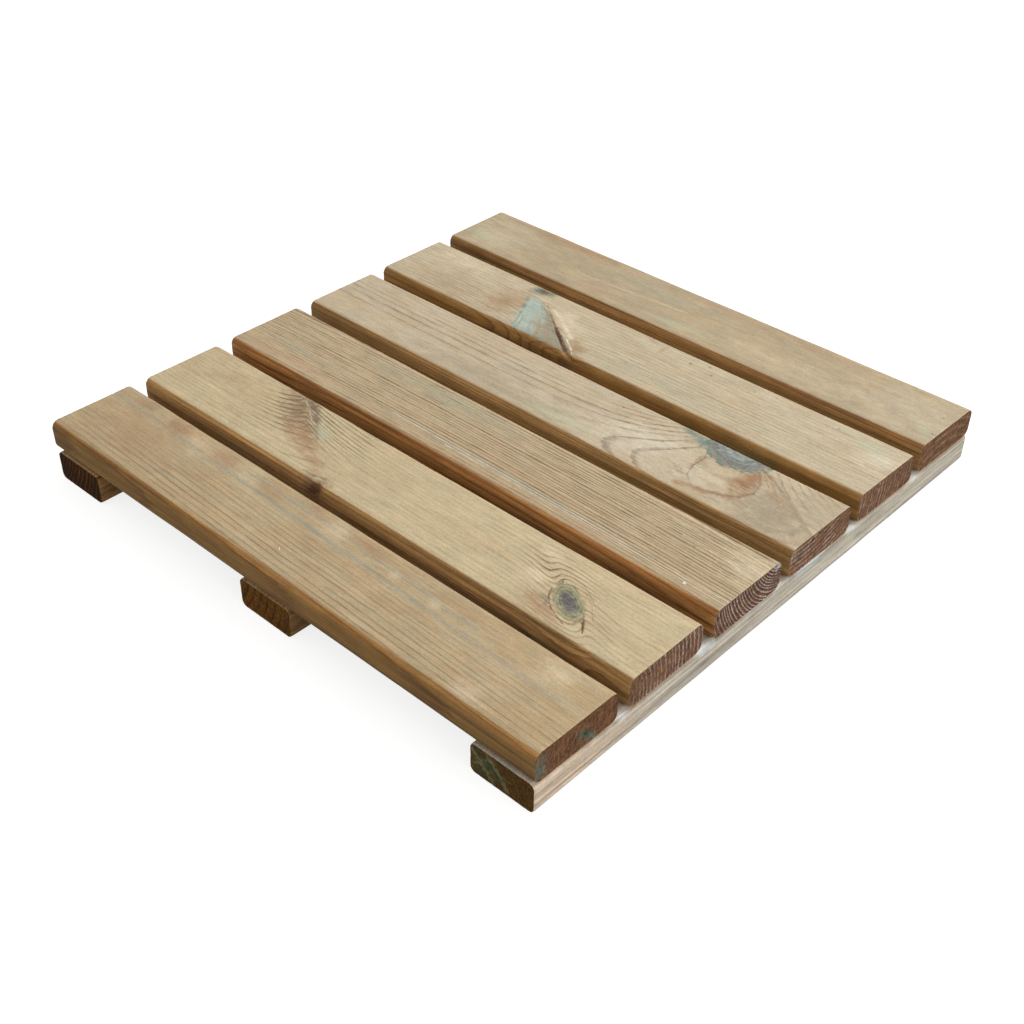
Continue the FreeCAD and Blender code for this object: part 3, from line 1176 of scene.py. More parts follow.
def deck_boards() -> tuple[TimberBar, ...]:
    """The six deck boards, from the front one to the back one."""
    # Painted light: the side colours of the boards behind the front one are lighter, to make up for the shade in the
    # gaps, and each rounding tint is painted light and shade on the upper roundings.
    radius = 5.8
    return (
        TimberBar(
            "deck_board_1",
            radius,
            Figure(
                -60.0,
                12.0,
                4.1,
                11,
                drift=-0.031,
                uneven=0.45,
                accents=(Accent(0.0, 16.0, 300.0, 27.0, 0.7),),
            ),
            TimberFinish(
                early=(0.422, 0.307, 0.174, 1.0),
                late=(0.25, 0.17, 0.095, 1.0),
                side=(0.286, 0.159, 0.05, 1.0),
                side_late=(0.16, 0.08, 0.027, 1.0),
                end=(0.17, 0.08, 0.039, 1.0),
                end_late=(0.25, 0.14, 0.09, 1.0),
                accent_late=(0.20, 0.145, 0.08, 1.0),
                line_strength=0.12,
                end_line_strength=0.25,
                blush_strength=0.6,
                early_share=0.6,
                wash_strength=0.3,
                # Painted light: the front board's upper rounding is lightened.
                rounding=(1.44, 1.33, 1.3, 1.0),
                marks=(
                    *trail(Tone.ASH, ((-248.0, 58.0), (-160.0, 56.0), (-125.0, 53.0)), 4.4, 0.7),
                    *trail(Tone.ASH, ((-125.0, 53.0), (0.0, 50.0), (100.0, 46.0), (230.0, 43.0)), 3.2, 0.75),
                    *trail(Tone.SAGE, ((-120.0, 56.0), (-40.0, 53.0), (60.0, 49.0)), 1.6, 0.5),
                    *trail(Tone.ASH, ((-95.0, 61.0), (-10.0, 62.5), (150.0, 54.0)), 2.6, 0.7),
                    *trail(Tone.SAGE, ((-90.0, 63.0), (-20.0, 65.0)), 1.6, 0.45),
                    Spot(Tone.TAN, -214.0, 66.0, 24.0, 12.0, -4.0, 0.75, 1.0),
                    Spot(Tone.TAN, -171.0, 63.0, 20.0, 14.0, -8.0, 0.95, 0.8),
                    Spot(Tone.TAN, -112.0, 61.0, 20.0, 12.0, 0.0, 0.6, 1.0),
                    Spot(Tone.TAN, -58.0, 60.0, 20.0, 12.0, 0.0, 0.65, 1.0),
                    Spot(Tone.TAN, -16.0, 68.0, 22.0, 8.0, 0.0, 0.6, 1.0),
                    Spot(Tone.TAN, 42.0, 64.0, 27.0, 9.0, -6.0, 0.75, 1.0),
                    Spot(Tone.TAN, 128.0, 64.0, 42.0, 8.0, -4.0, 0.5, 1.0),
                    Spot(Tone.TAN, -190.0, 30.0, 90.0, 38.0, 0.0, 0.4, 1.0),
                    Spot(Tone.CREAM, -142.0, 58.0, 22.0, 17.0, 0.0, 0.22, 1.0),
                    Spot(Tone.CREAM, -88.0, 58.0, 18.0, 14.0, 0.0, 0.18, 1.0),
                    Spot(Tone.CREAM, 10.0, 62.0, 16.0, 13.0, 0.0, 0.35, 1.0),
                    Spot(Tone.CREAM, 74.0, 55.0, 8.0, 7.0, 0.0, 0.3, 1.0),
                    Spot(Tone.CREAM, 113.0, 54.0, 9.0, 8.0, 0.0, 0.28, 1.0),
                    Spot(Tone.CREAM, 214.0, 61.0, 19.0, 15.0, 0.0, 0.38, 1.0),
                    Spot(Tone.CREAM, 185.0, 10.0, 18.0, 14.0, 0.0, 0.42, 1.0),
                    Stroke(Tone.SALT, (-4.5, 22.5), (-2.5, 21.0), 0.45, 0.7, 0.5, 0.3),
                ),
                end_marks=(
                    Spot(Tone.TEAL, 45.0, 10.0, 12.0, 6.0, -38.0, 0.5, 1.0),
                    Spot(Tone.FERN, 46.0, 9.5, 10.0, 5.0, -38.0, 0.85, 1.0),
                    Spot(Tone.TEAL, 51.0, 4.0, 7.0, 4.0, -20.0, 0.7, 1.0),
                    Spot(Tone.TEAL, 3.0, 10.0, 13.0, 16.0, 0.0, 0.65, 1.0),
                ),
            ),
            start_skew=-0.008,
            end_skew=0.006,
        ),
        TimberBar(
            "deck_board_2",
            radius,
            Figure(
                -36.0,
                2.0,
                3.8,
                22,
                uneven=0.3,
                knots=(
                    Knot(174.5, 29.5, 20.0, 9.6, -34.0, 6.0, 1.5, Tone.VIOLET, Tone.LICHEN, Tone.OLIVE, accent=0.55),
                ),
                traces=(BranchTrace((-137.0, 72.0), (-75.0, 24.0), 16.0, 26.0, 34.0),),
                accents=(
                    Accent(-124.0, 52.0, 34.0, 28.0, 0.95),
                    Accent(-70.0, 56.0, 38.0, 22.0, 0.7),
                    Accent(142.0, 50.0, 34.0, 20.0, 0.5),
                ),
            ),
            TimberFinish(
                early=(0.526, 0.424, 0.262, 1.0),
                late=(0.36, 0.26, 0.15, 1.0),
                side=(0.45, 0.275, 0.112, 1.0),
                side_late=(0.221, 0.119, 0.0475, 1.0),
                end=(0.195, 0.096, 0.05, 1.0),
                end_late=(0.46, 0.37, 0.35, 1.0),
                accent_late=(0.13, 0.072, 0.038, 1.0),
                line_strength=0.4,
                blush_strength=0.4,
                end_line_strength=0.85,
                rounding=(0.96, 0.88, 0.76, 1.0),
                marks=(
                    Spot(Tone.LOAM, -132.0, 60.0, 42.0, 17.0, -36.0, 0.62, 1.0),
                    Spot(Tone.LOAM, -106.0, 46.0, 38.0, 12.0, -36.0, 0.4, 1.0),
                    Spot(Tone.BLUSH, -94.0, 33.0, 38.0, 16.0, -20.0, 0.95, 1.0),
                    Spot(Tone.BLUSH, -64.0, 19.0, 28.0, 11.0, -34.0, 0.55, 1.0),
                    *trail(Tone.DUSK, ((-133.0, 75.0), (-118.0, 67.0), (-104.0, 57.0)), 5.5, 0.85),
                    *trail(Tone.DUSK, ((-104.0, 56.0), (-92.0, 46.0), (-84.0, 40.0)), 2.6, 0.5),
                    Spot(Tone.MINT, -86.0, 47.0, 17.0, 8.0, -30.0, 0.6, 1.0),
                    Spot(Tone.MINT, -98.0, 57.0, 10.0, 5.0, -30.0, 0.4, 1.0),
                    Stroke(Tone.DUSK, (-154.0, 61.0), (-132.0, 70.5), 1.9, 0.75, 0.95, 0.8),
                    Stroke(Tone.DUSK, (-149.0, 56.5), (-128.0, 65.5), 1.7, 0.65, 0.95, 0.7),
                    Stroke(Tone.DUSK, (-142.0, 54.0), (-123.5, 62.0), 2.0, 0.85, 0.95, 0.7),
                    Stroke(Tone.DUSK, (-138.0, 49.5), (-116.5, 57.5), 1.9, 0.8, 0.95, 0.6),
                    Stroke(Tone.DUSK, (-132.0, 45.5), (-109.0, 53.0), 1.6, 0.65, 0.95, 0.6),
                    Stroke(Tone.DUSK, (-126.0, 41.0), (-101.0, 48.0), 1.5, 0.65, 0.95, 0.6),
                    Stroke(Tone.DUSK, (-119.0, 36.5), (-93.0, 42.5), 1.5, 0.65, 0.95, 0.6),
                    Stroke(Tone.BARK, (-110.0, 30.5), (-86.5, 36.5), 1.2, 0.5, 0.95, 0.6),
                    Stroke(Tone.BARK, (-100.0, 23.0), (-73.5, 30.0), 1.3, 0.5, 0.95, 0.6),
                    Stroke(Tone.BARK, (-90.0, 9.5), (-62.0, 18.5), 1.2, 0.45, 0.95, 0.6),
                    *trail(Tone.CREAM, ((-130.0, 68.0), (-118.0, 61.5), (-106.0, 53.0)), 0.5, 0.5),
                    *trail(Tone.DUSK, ((-62.0, 7.0), (-50.0, 7.5), (-40.0, 10.0)), 1.6, 0.6),
                    Spot(Tone.TAN, -200.0, 50.0, 60.0, 26.0, 0.0, 0.25, 1.0),
                    Spot(Tone.CREAM, 140.0, 34.0, 24.0, 14.0, 0.0, 0.5, 1.0),
                    Spot(Tone.BLUSH, 162.0, 14.0, 30.0, 11.0, -16.0, 0.85, 1.0),
                    Spot(Tone.DUSK, 162.0, 21.0, 9.0, 5.0, -38.0, 0.7, 1.0),
                    Spot(Tone.SLATE, 164.0, 18.5, 4.0, 2.4, -30.0, 0.8, 1.0),
                    *trail(Tone.BARK, ((157.5, 32.0), (161.0, 25.0), (170.0, 17.0), (186.0, 11.0)), 0.9, 0.75),
                    *trail(Tone.BARK, ((186.0, 30.0), (193.0, 23.0), (200.0, 13.5)), 1.2, 0.95),
                    *trail(Tone.UMBER, ((194.0, 20.0), (200.5, 13.0)), 1.0, 0.8),
                    Stroke(Tone.UMBER, (157.0, 44.0), (161.0, 38.0), 1.2, 0.7, 1.0, 0.8),
                    *trail(Tone.RESIN, ((150.0, 42.0), (158.0, 50.0), (172.0, 49.0), (190.0, 38.0)), 1.0, 0.4),
                    *trail(Tone.RESIN, ((176.0, 44.0), (188.0, 37.0), (198.0, 26.0)), 0.9, 0.4),
                    Spot(Tone.CREAM, 130.0, 60.0, 26.0, 8.0, -10.0, 0.35, 1.0),
                ),
                deep_marks=(
                    Spot(Tone.BARK, -44.0, 1.0, 20.0, 12.0, 8.0, 0.95, 1.0, 20.0, 16.0),
                    Spot(Tone.UMBER, -42.0, 0.5, 8.0, 5.0, 12.0, 0.95, 0.8, 21.0, 12.0),
                ),
                end_marks=(Spot(Tone.BARK, 6.0, 12.0, 22.0, 22.0, 0.0, 0.75, 1.0),),
            ),
            start_skew=-0.003,
            end_skew=-0.007,
        ),
        TimberBar(
            "deck_board_3",
            radius,
            Figure(
                84.0,
                41.0,
                2.75,
                33,
                bow=-4.5,
                uneven=0.4,
                wander=0.35,
                accents=(Accent(90.0, 22.0, 220.0, 6.5, 1.0), Accent(150.0, 40.0, 180.0, 32.0, 0.8)),
            ),
            TimberFinish(
                early=(0.447, 0.342, 0.209, 1.0),
                late=(0.20, 0.135, 0.075, 1.0),
                blush=(0.45, 0.345, 0.21, 1.0),
                side=(0.44, 0.23, 0.076, 1.0),
                side_late=(0.213, 0.0924, 0.0285, 1.0),
                end=(0.143, 0.07, 0.038, 1.0),
                end_late=(0.45, 0.37, 0.35, 1.0),
                accent_late=(0.155, 0.092, 0.05, 1.0),
                rounding=(0.94, 0.78, 0.66, 1.0),
                line_strength=1.0,
                blush_strength=0.5,
                end_line_strength=1.0,
                marks=(
                    Spot(Tone.SAGE, -50.0, 60.0, 110.0, 13.0, 2.0, 0.5, 1.0),
                    Spot(Tone.SAGE, -190.0, 27.0, 70.0, 5.0, 0.0, 0.4, 1.0),
                    Spot(Tone.ROSE, -190.0, 13.0, 100.0, 11.0, 1.0, 0.5, 1.0),
                    Spot(Tone.ASH, 40.0, 16.0, 150.0, 6.0, 0.0, 0.5, 1.0),
                    *trail(Tone.CHALK, ((-70.0, 17.0), (80.0, 16.5), (250.0, 14.0)), 0.7, 0.5),
                    *trail(Tone.CHALK, ((-10.0, 14.0), (120.0, 13.5), (250.0, 11.0)), 0.6, 0.45),
                    *trail(Tone.FROST, ((-50.0, 19.5), (60.0, 19.0), (170.0, 18.0)), 0.6, 0.4),
                    Spot(Tone.BLUSH, 80.0, 24.5, 190.0, 4.5, 0.0, 0.35, 1.0),
                    Spot(Tone.BLUSH, 60.0, 6.5, 230.0, 6.5, 0.0, 0.4, 1.0),
                    Spot(Tone.CREAM, 242.0, 52.0, 34.0, 30.0, 0.0, 0.45, 1.0),
                    *trail(Tone.CREAM, ((150.0, 70.0), (210.0, 67.0), (250.0, 61.0)), 1.0, 0.5),
                    *trail(Tone.CREAM, ((160.0, 61.0), (215.0, 58.0), (250.0, 52.0)), 1.0, 0.5),
                    *trail(Tone.CREAM, ((185.0, 50.0), (225.0, 48.0), (250.0, 43.0)), 0.9, 0.45),
                    Spot(Tone.LEAF, 197.0, 52.5, 1.4, 1.1, 0.0, 0.9, 0.8),
                    Spot(Tone.LEAF, 198.0, 45.5, 1.5, 1.2, 0.0, 0.9, 0.8),
                    Spot(Tone.SALT, 217.0, 10.0, 1.8, 1.4, 0.0, 0.8, 0.6),
                ),
                end_marks=(
                    Spot(Tone.SALT, 71.0, 21.0, 6.0, 5.0, 0.0, 0.5, 1.0),
                    Spot(Tone.TEAL, 72.0, 6.0, 6.0, 6.0, 0.0, 0.4, 1.0),
                ),
            ),
            start_skew=-0.006,
        ),
        TimberBar(
            "deck_board_4",
            radius,
            Figure(
                13.8,
                123.7,
                2.1,
                44,
                uneven=0.0,
                wander=0.6,
                knots=(
                    Knot(156.0, 79.0, 29.0, 29.0, 0.0, 0.0, 0.3, Tone.HAZE, Tone.SLATE, Tone.TEAL, accent=0.1),
                ),
                swells=(
                    Swell(162.3, 318.9, 23.8, 68.9, 785.0, 1.0),
                    Swell(162.2, 28.2, 35.7, 23.3, -4.6),
                ),
                accents=(
                    Accent(88.0, 34.0, 46.0, 46.0, 0.8),
                    Accent(-120.0, 42.0, 190.0, 12.0, 0.6),
                    Accent(212.0, 56.0, 30.0, 14.0, 0.4),
                ),
            ),
            TimberFinish(
                early=(0.485, 0.402, 0.285, 1.0),
                late=(0.31, 0.225, 0.145, 1.0),
                side=(0.435, 0.282, 0.112, 1.0),
                side_late=(0.226, 0.14, 0.056, 1.0),
                end=(0.195, 0.097, 0.052, 1.0),
                end_late=(0.48, 0.38, 0.32, 1.0),
                accent_late=(0.21, 0.15, 0.105, 1.0),
                line_strength=0.6,
                early_share=0.6,
                end_ring_scale=0.5,
                end_line_strength=0.9,
                rounding=(0.78, 0.655, 0.57, 1.0),
                marks=(
                    Spot(Tone.MINT, 20.0, 14.0, 55.0, 11.0, 4.0, 0.4, 1.0),
                    Spot(Tone.DRAB, -60.0, 16.0, 120.0, 22.0, 0.0, 0.5, 1.0),
                    Spot(Tone.DRAB, 212.0, 26.0, 48.0, 36.0, -24.0, 0.85, 1.0),
                    Spot(Tone.DRAB, 240.0, 52.0, 44.0, 30.0, 0.0, 0.4, 1.0),
                    Spot(Tone.CREAM, 150.0, 32.0, 24.0, 18.0, 0.0, 0.3, 1.0),
                    Spot(Tone.CHALK, 92.0, 36.0, 60.0, 34.0, 20.0, 0.4, 1.0),
                    Spot(Tone.RESIN, 180.0, 47.0, 13.0, 24.0, -6.0, 1.0, 1.0),
                    Spot(Tone.TAN, 206.0, 46.0, 34.0, 12.0, -34.0, 0.5, 1.0),
                    Spot(Tone.CHALK, 137.0, 16.5, 9.0, 4.5, 0.0, 0.5, 1.0),
                    *trail(Tone.TAN, ((144.0, 10.0), (164.0, 14.5), (181.0, 21.0), (190.5, 35.0)), 5.0, 0.85),
                    *trail(Tone.BARK, ((156.0, 14.0), (174.0, 18.0), (186.5, 25.5), (192.0, 37.0)), 2.0, 0.35),
                    *trail(Tone.BARK, ((192.0, 37.0), (189.5, 48.0), (180.5, 61.0)), 1.8, 0.4),
                    *trail(Tone.DRAB, ((196.0, 58.0), (214.0, 47.0), (228.0, 37.0), (240.0, 30.0)), 3.0, 0.7),
                    *trail(Tone.DRAB, ((240.0, 30.0), (238.0, 18.0), (224.0, 9.0), (190.0, 3.0)), 4.6, 0.6),
                    *trail(Tone.BARK, ((134.0, 62.0), (140.5, 48.0), (139.5, 35.0), (143.0, 23.0)), 1.3, 0.5),
                    Stroke(Tone.BARK, (143.0, 23.0), (153.0, 14.5), 1.0, 0.4, 0.95, 1.3),
                    Stroke(Tone.FROST, (143.0, 38.0), (149.0, 19.0), 1.8, 0.45, 0.95, 1.2),
                    *trail(Tone.BARK, ((129.0, 57.0), (114.0, 38.0), (99.0, 22.0)), 1.2, 0.4),
                    *trail(Tone.BARK, ((121.0, 62.0), (104.0, 43.5), (78.0, 27.0)), 1.2, 0.45),
                    Stroke(Tone.BARK, (107.0, 62.0), (80.0, 45.0), 1.0, 0.4, 0.95, 1.0),
                    Stroke(Tone.BARK, (101.0, 67.0), (78.0, 51.5), 1.0, 0.4, 0.95, 1.0),
                    Stroke(Tone.BARK, (178.0, 67.0), (193.0, 59.0), 0.9, 0.6, 0.95, 0.9),
                    Stroke(Tone.BARK, (184.0, 62.0), (196.0, 50.0), 0.9, 0.5, 0.95, 0.9),
                    Stroke(Tone.BARK, (188.0, 64.0), (206.0, 52.0), 0.9, 0.45, 0.95, 0.9),
                    Spot(Tone.TEAL, 112.0, 69.0, 18.0, 6.0, -14.0, 0.8, 1.0),
                    Spot(Tone.TEAL, 127.0, 63.5, 11.0, 9.0, -30.0, 0.95, 1.0),
                    Spot(Tone.HAZE, 125.0, 63.0, 8.0, 7.0, -30.0, 0.5, 1.0),
                    Stroke(Tone.SLATE, (127.0, 68.0), (129.0, 57.0), 1.3, 0.6, 0.95, 1.3),
                    Stroke(Tone.SLATE, (174.5, 74.0), (171.0, 51.0), 1.4, 0.6, 0.95, 1.4),
                    Spot(Tone.OLIVE, 157.0, 49.0, 6.0, 3.0, 0.0, 0.6, 1.0),
                    Spot(Tone.UMBER, 83.0, 40.0, 2.2, 1.8, 0.0, 0.45, 1.0),
                    Spot(Tone.UMBER, 54.0, 59.0, 1.4, 1.2, 0.0, 0.6, 0.8),
                ),
                end_marks=(
                    Spot(Tone.BARK, 66.0, 12.0, 24.0, 22.0, 0.0, 0.75, 1.0),
                    Spot(Tone.SAGE, 4.0, 18.0, 14.0, 9.0, 0.0, 0.35, 1.0),
                    Spot(Tone.PITCH, 27.5, 19.5, 1.4, 1.2, 0.0, 0.9, 1.0),
                    Spot(Tone.PITCH, 32.5, 15.0, 1.5, 1.1, 0.0, 0.8, 1.0),
                    Spot(Tone.PITCH, 36.0, 21.0, 1.3, 1.0, 0.0, 0.8, 1.0),
                    Spot(Tone.PITCH, 22.0, 12.0, 1.3, 1.0, 0.0, 0.7, 1.0),
                    Spot(Tone.PITCH, 43.0, 17.0, 1.6, 1.0, 0.0, 0.7, 1.0),
                    Spot(Tone.PITCH, 7.0, 9.0, 2.2, 1.2, 0.0, 0.7, 1.0),
                ),
            ),
            start_skew=0.006,
            end_skew=0.003,
        ),
        TimberBar(
            "deck_board_5",
            radius,
            Figure(
                -80.0,
                20.0,
                4.4,
                55,
                swells=(Swell(-75.0, 2.0, 34.0, 40.0, -14.0, 1.2),),
                hollows=(Hollow((-66.0, 27.0), (-25.0, -2.0), 0.8, 3.8, 2.4),),
                accents=(Accent(-165.0, 16.0, 60.0, 22.0, 0.5), Accent(80.0, 26.0, 150.0, 22.0, 0.35)),
            ),
            TimberFinish(
                early=(0.486, 0.408, 0.282, 1.0),
                late=(0.33, 0.25, 0.155, 1.0),
                side=(0.335, 0.186, 0.058, 1.0),
                side_late=(0.148, 0.072, 0.0235, 1.0),
                end=(0.20, 0.10, 0.052, 1.0),
                end_late=(0.44, 0.36, 0.33, 1.0),
                blush_strength=0.28,
                wash_strength=0.15,
                line_strength=0.5,
                early_share=0.58,
                rounding=(0.92, 0.85, 0.76, 1.0),
                marks=(
                    Spot(Tone.TAN, -185.0, 18.0, 80.0, 24.0, 0.0, 0.4, 1.0),
                    Spot(Tone.CREAM, -205.0, 60.0, 56.0, 18.0, 0.0, 0.4, 1.0),
                    Spot(Tone.TAN, -128.0, 32.0, 28.0, 34.0, 12.0, 0.75, 1.0),
                    # Painted highlight: the pale patch above the crack stands for light on a raised ridge.
                    Spot(Tone.CREAM, -66.0, 44.0, 38.0, 13.0, -32.0, 0.5, 1.0),
                    SpikeKnot((-125.0, 69.0), (-94.0, -2.0), (-21.5, -2.0)),
                    Stroke(Tone.FROST, (-106.0, 49.0), (-94.0, 22.0), 8.5, 0.8, 0.95, 8.0),
                    Stroke(Tone.FROST, (-105.0, 49.0), (-82.0, 27.0), 7.5, 0.85, 0.95, 6.5),
                    *trail(Tone.TAN, ((-86.0, 30.0), (-76.0, 18.0), (-68.0, 4.0)), 2.4, 0.55),
                    *trail(Tone.TAN, ((-78.0, 30.0), (-64.0, 16.0), (-54.0, 2.0)), 2.4, 0.55),
                    *trail(Tone.BARK, ((-96.0, 20.0), (-90.0, 0.0)), 1.2, 0.3),
                    Spot(Tone.TEAL, -116.0, 47.0, 5.0, 3.5, -20.0, 0.6, 1.0),
                    Spot(Tone.TEAL, -110.0, 37.0, 4.5, 3.0, -40.0, 0.65, 1.0),
                    Spot(Tone.TEAL, -104.5, 26.0, 3.5, 4.0, 0.0, 0.5, 1.0),
                    Spot(Tone.BARK, -68.0, 3.0, 32.0, 9.0, 0.0, 0.35, 1.0),
                    Stroke(Tone.BARK, (-96.0, 51.0), (-72.0, 33.0), 1.9, 0.6, 0.95, 0.9),
                    # Painted highlight: a cream streak along the ridge above the crack.
                    *trail(Tone.CREAM, ((-86.0, 49.0), (-70.0, 40.0), (-56.0, 31.0), (-44.0, 23.0)), 2.8, 0.7),
                    Spot(Tone.TAN, -31.0, 15.0, 22.0, 10.5, -44.0, 1.0, 1.0),
                    *trail(Tone.BARK, ((-74.0, 34.0), (-64.0, 27.0), (-54.0, 20.5)), 1.8, 0.8),
                    *trail(Tone.BARK, ((-62.0, 25.5), (-50.0, 17.0), (-38.0, 7.0), (-28.0, -2.0)), 4.6, 0.64),
                    Stroke(Tone.UMBER, (-58.0, 22.5), (-37.0, 6.0), 2.0, 0.5, 0.95, 1.6),
                    *trail(Tone.DUST, ((-56.0, 16.0), (-45.0, 8.5), (-35.0, -1.0)), 1.8, 0.85),
                    # Painted highlight: the white lines along the crack's edge.
                    *trail(Tone.CHALK, ((-58.0, 25.0), (-46.0, 19.5)), 0.6, 0.6),
                    *trail(Tone.CHALK, ((-46.0, 19.5), (-33.0, 10.0), (-21.5, -2.0)), 0.9, 0.9),
                    Spot(Tone.TEAL, -116.0, 66.0, 13.0, 9.5, 10.0, 0.95, 1.0),
                    Spot(Tone.TEAL, -106.0, 70.0, 8.0, 6.0, 0.0, 0.75, 1.0),
                    Spot(Tone.BARK, -113.5, 67.0, 8.0, 5.5, 0.0, 0.9, 1.0),
                    Spot(Tone.RESIN, 8.0, 67.0, 12.0, 3.0, -6.0, 0.45, 1.0),
                    Spot(Tone.RESIN, 22.0, 62.0, 4.0, 8.0, 10.0, 0.4, 1.0),
                    Spot(Tone.UMBER, 52.0, 60.0, 1.8, 1.6, 0.0, 0.6, 0.9),
                    Spot(Tone.UMBER, 67.0, 66.0, 1.6, 1.4, 0.0, 0.6, 0.9),
                    Spot(Tone.UMBER, 75.0, 57.0, 1.8, 1.5, 0.0, 0.6, 0.9),
                    Spot(Tone.UMBER, 114.0, 61.0, 1.8, 1.5, 0.0, 0.55, 0.9),
                    Spot(Tone.UMBER, 132.0, 66.0, 1.6, 1.5, 0.0, 0.6, 0.9),
                    Spot(Tone.UMBER, 191.0, 63.0, 1.5, 1.3, 0.0, 0.5, 0.9),
                    Spot(Tone.MINT, 222.0, 58.0, 24.0, 10.0, 0.0, 0.45, 1.0),
                    Spot(Tone.CHALK, 236.0, 48.0, 26.0, 20.0, 0.0, 0.35, 1.0),
                    Spot(Tone.SAGE, 60.0, 20.0, 160.0, 12.0, 0.0, 0.3, 1.0),
                ),
                deep_marks=(
                    Spot(Tone.UMBER, -60.0, 0.0, 56.0, 6.0, 0.0, 0.5, 1.0, 12.0, 14.0),
                    Spot(Tone.BARK, -31.0, 0.0, 7.0, 6.0, 0.0, 0.6, 1.0, 14.0, 16.0),
                ),
                end_marks=(Spot(Tone.BARK, 58.0, 12.0, 30.0, 22.0, 0.0, 0.75, 1.0),),
            ),
            start_skew=0.003,
            end_skew=0.008,
        ),
        TimberBar(
            "deck_board_6",
            radius,
            Figure(35.0, -55.0, 6.5, 66),
            TimberFinish(
                early=(0.385, 0.305, 0.195, 1.0),
                late=(0.36, 0.27, 0.16, 1.0),
                side=(0.425, 0.248, 0.09, 1.0),
                side_late=(0.222, 0.124, 0.045, 1.0),
                end=(0.185, 0.095, 0.05, 1.0),
                end_late=(0.34, 0.23, 0.16, 1.0),
                line_strength=0.3,
                blush_strength=0.25,
                wash_strength=0.12,
                rounding=(0.82, 0.68, 0.6, 1.0),
                marks=(
                    Spot(Tone.TAN, -160.0, 66.0, 90.0, 12.0, 0.0, 0.7, 1.0),
                    Spot(Tone.TAN, 60.0, 66.0, 150.0, 14.0, 0.0, 0.4, 1.0),
                    Spot(Tone.SAGE, -40.0, 50.0, 110.0, 12.0, 2.0, 0.35, 1.0),
                    Spot(Tone.CREAM, 100.0, 24.0, 110.0, 18.0, 2.0, 0.22, 1.0),
                    Spot(Tone.CHALK, 225.0, 36.0, 70.0, 46.0, 0.0, 0.18, 1.0),
                    Spot(Tone.TAN, -150.0, 66.0, 95.0, 10.0, 0.0, 0.55, 1.0),
                    Spot(Tone.DRAB, -20.0, 20.0, 60.0, 12.0, 0.0, 0.4, 1.0),
                    Spot(Tone.CHALK, -216.0, 36.0, 60.0, 44.0, 0.0, 0.16, 1.0),
                    Spot(Tone.MINT, -225.0, 23.0, 34.0, 12.0, 0.0, 0.35, 1.0),
                    Spot(Tone.ROSE, -85.0, 18.0, 34.0, 13.0, 4.0, 0.5, 1.0),
                    Stroke(Tone.CREAM, (-110.0, 29.0), (0.0, 38.0), 1.6, 0.35, 1.0, 1.2),
                    Stroke(Tone.ROSE, (0.0, 38.0), (200.0, 45.0), 1.2, 0.6, 1.0, 0.8),
                    Spot(Tone.MINT, 10.0, 17.0, 50.0, 9.0, 2.0, 0.35, 1.0),
                    Spot(Tone.MINT, 238.0, 22.0, 16.0, 12.0, 0.0, 0.4, 1.0),
                    Spot(Tone.UMBER, 241.0, 45.0, 1.6, 1.4, 0.0, 0.6, 0.9),
                    Spot(Tone.UMBER, 246.0, 20.0, 1.8, 1.5, 0.0, 0.6, 0.9),
                ),
            ),
            start_skew=-0.007,
            end_skew=0.010,
        ),
    )


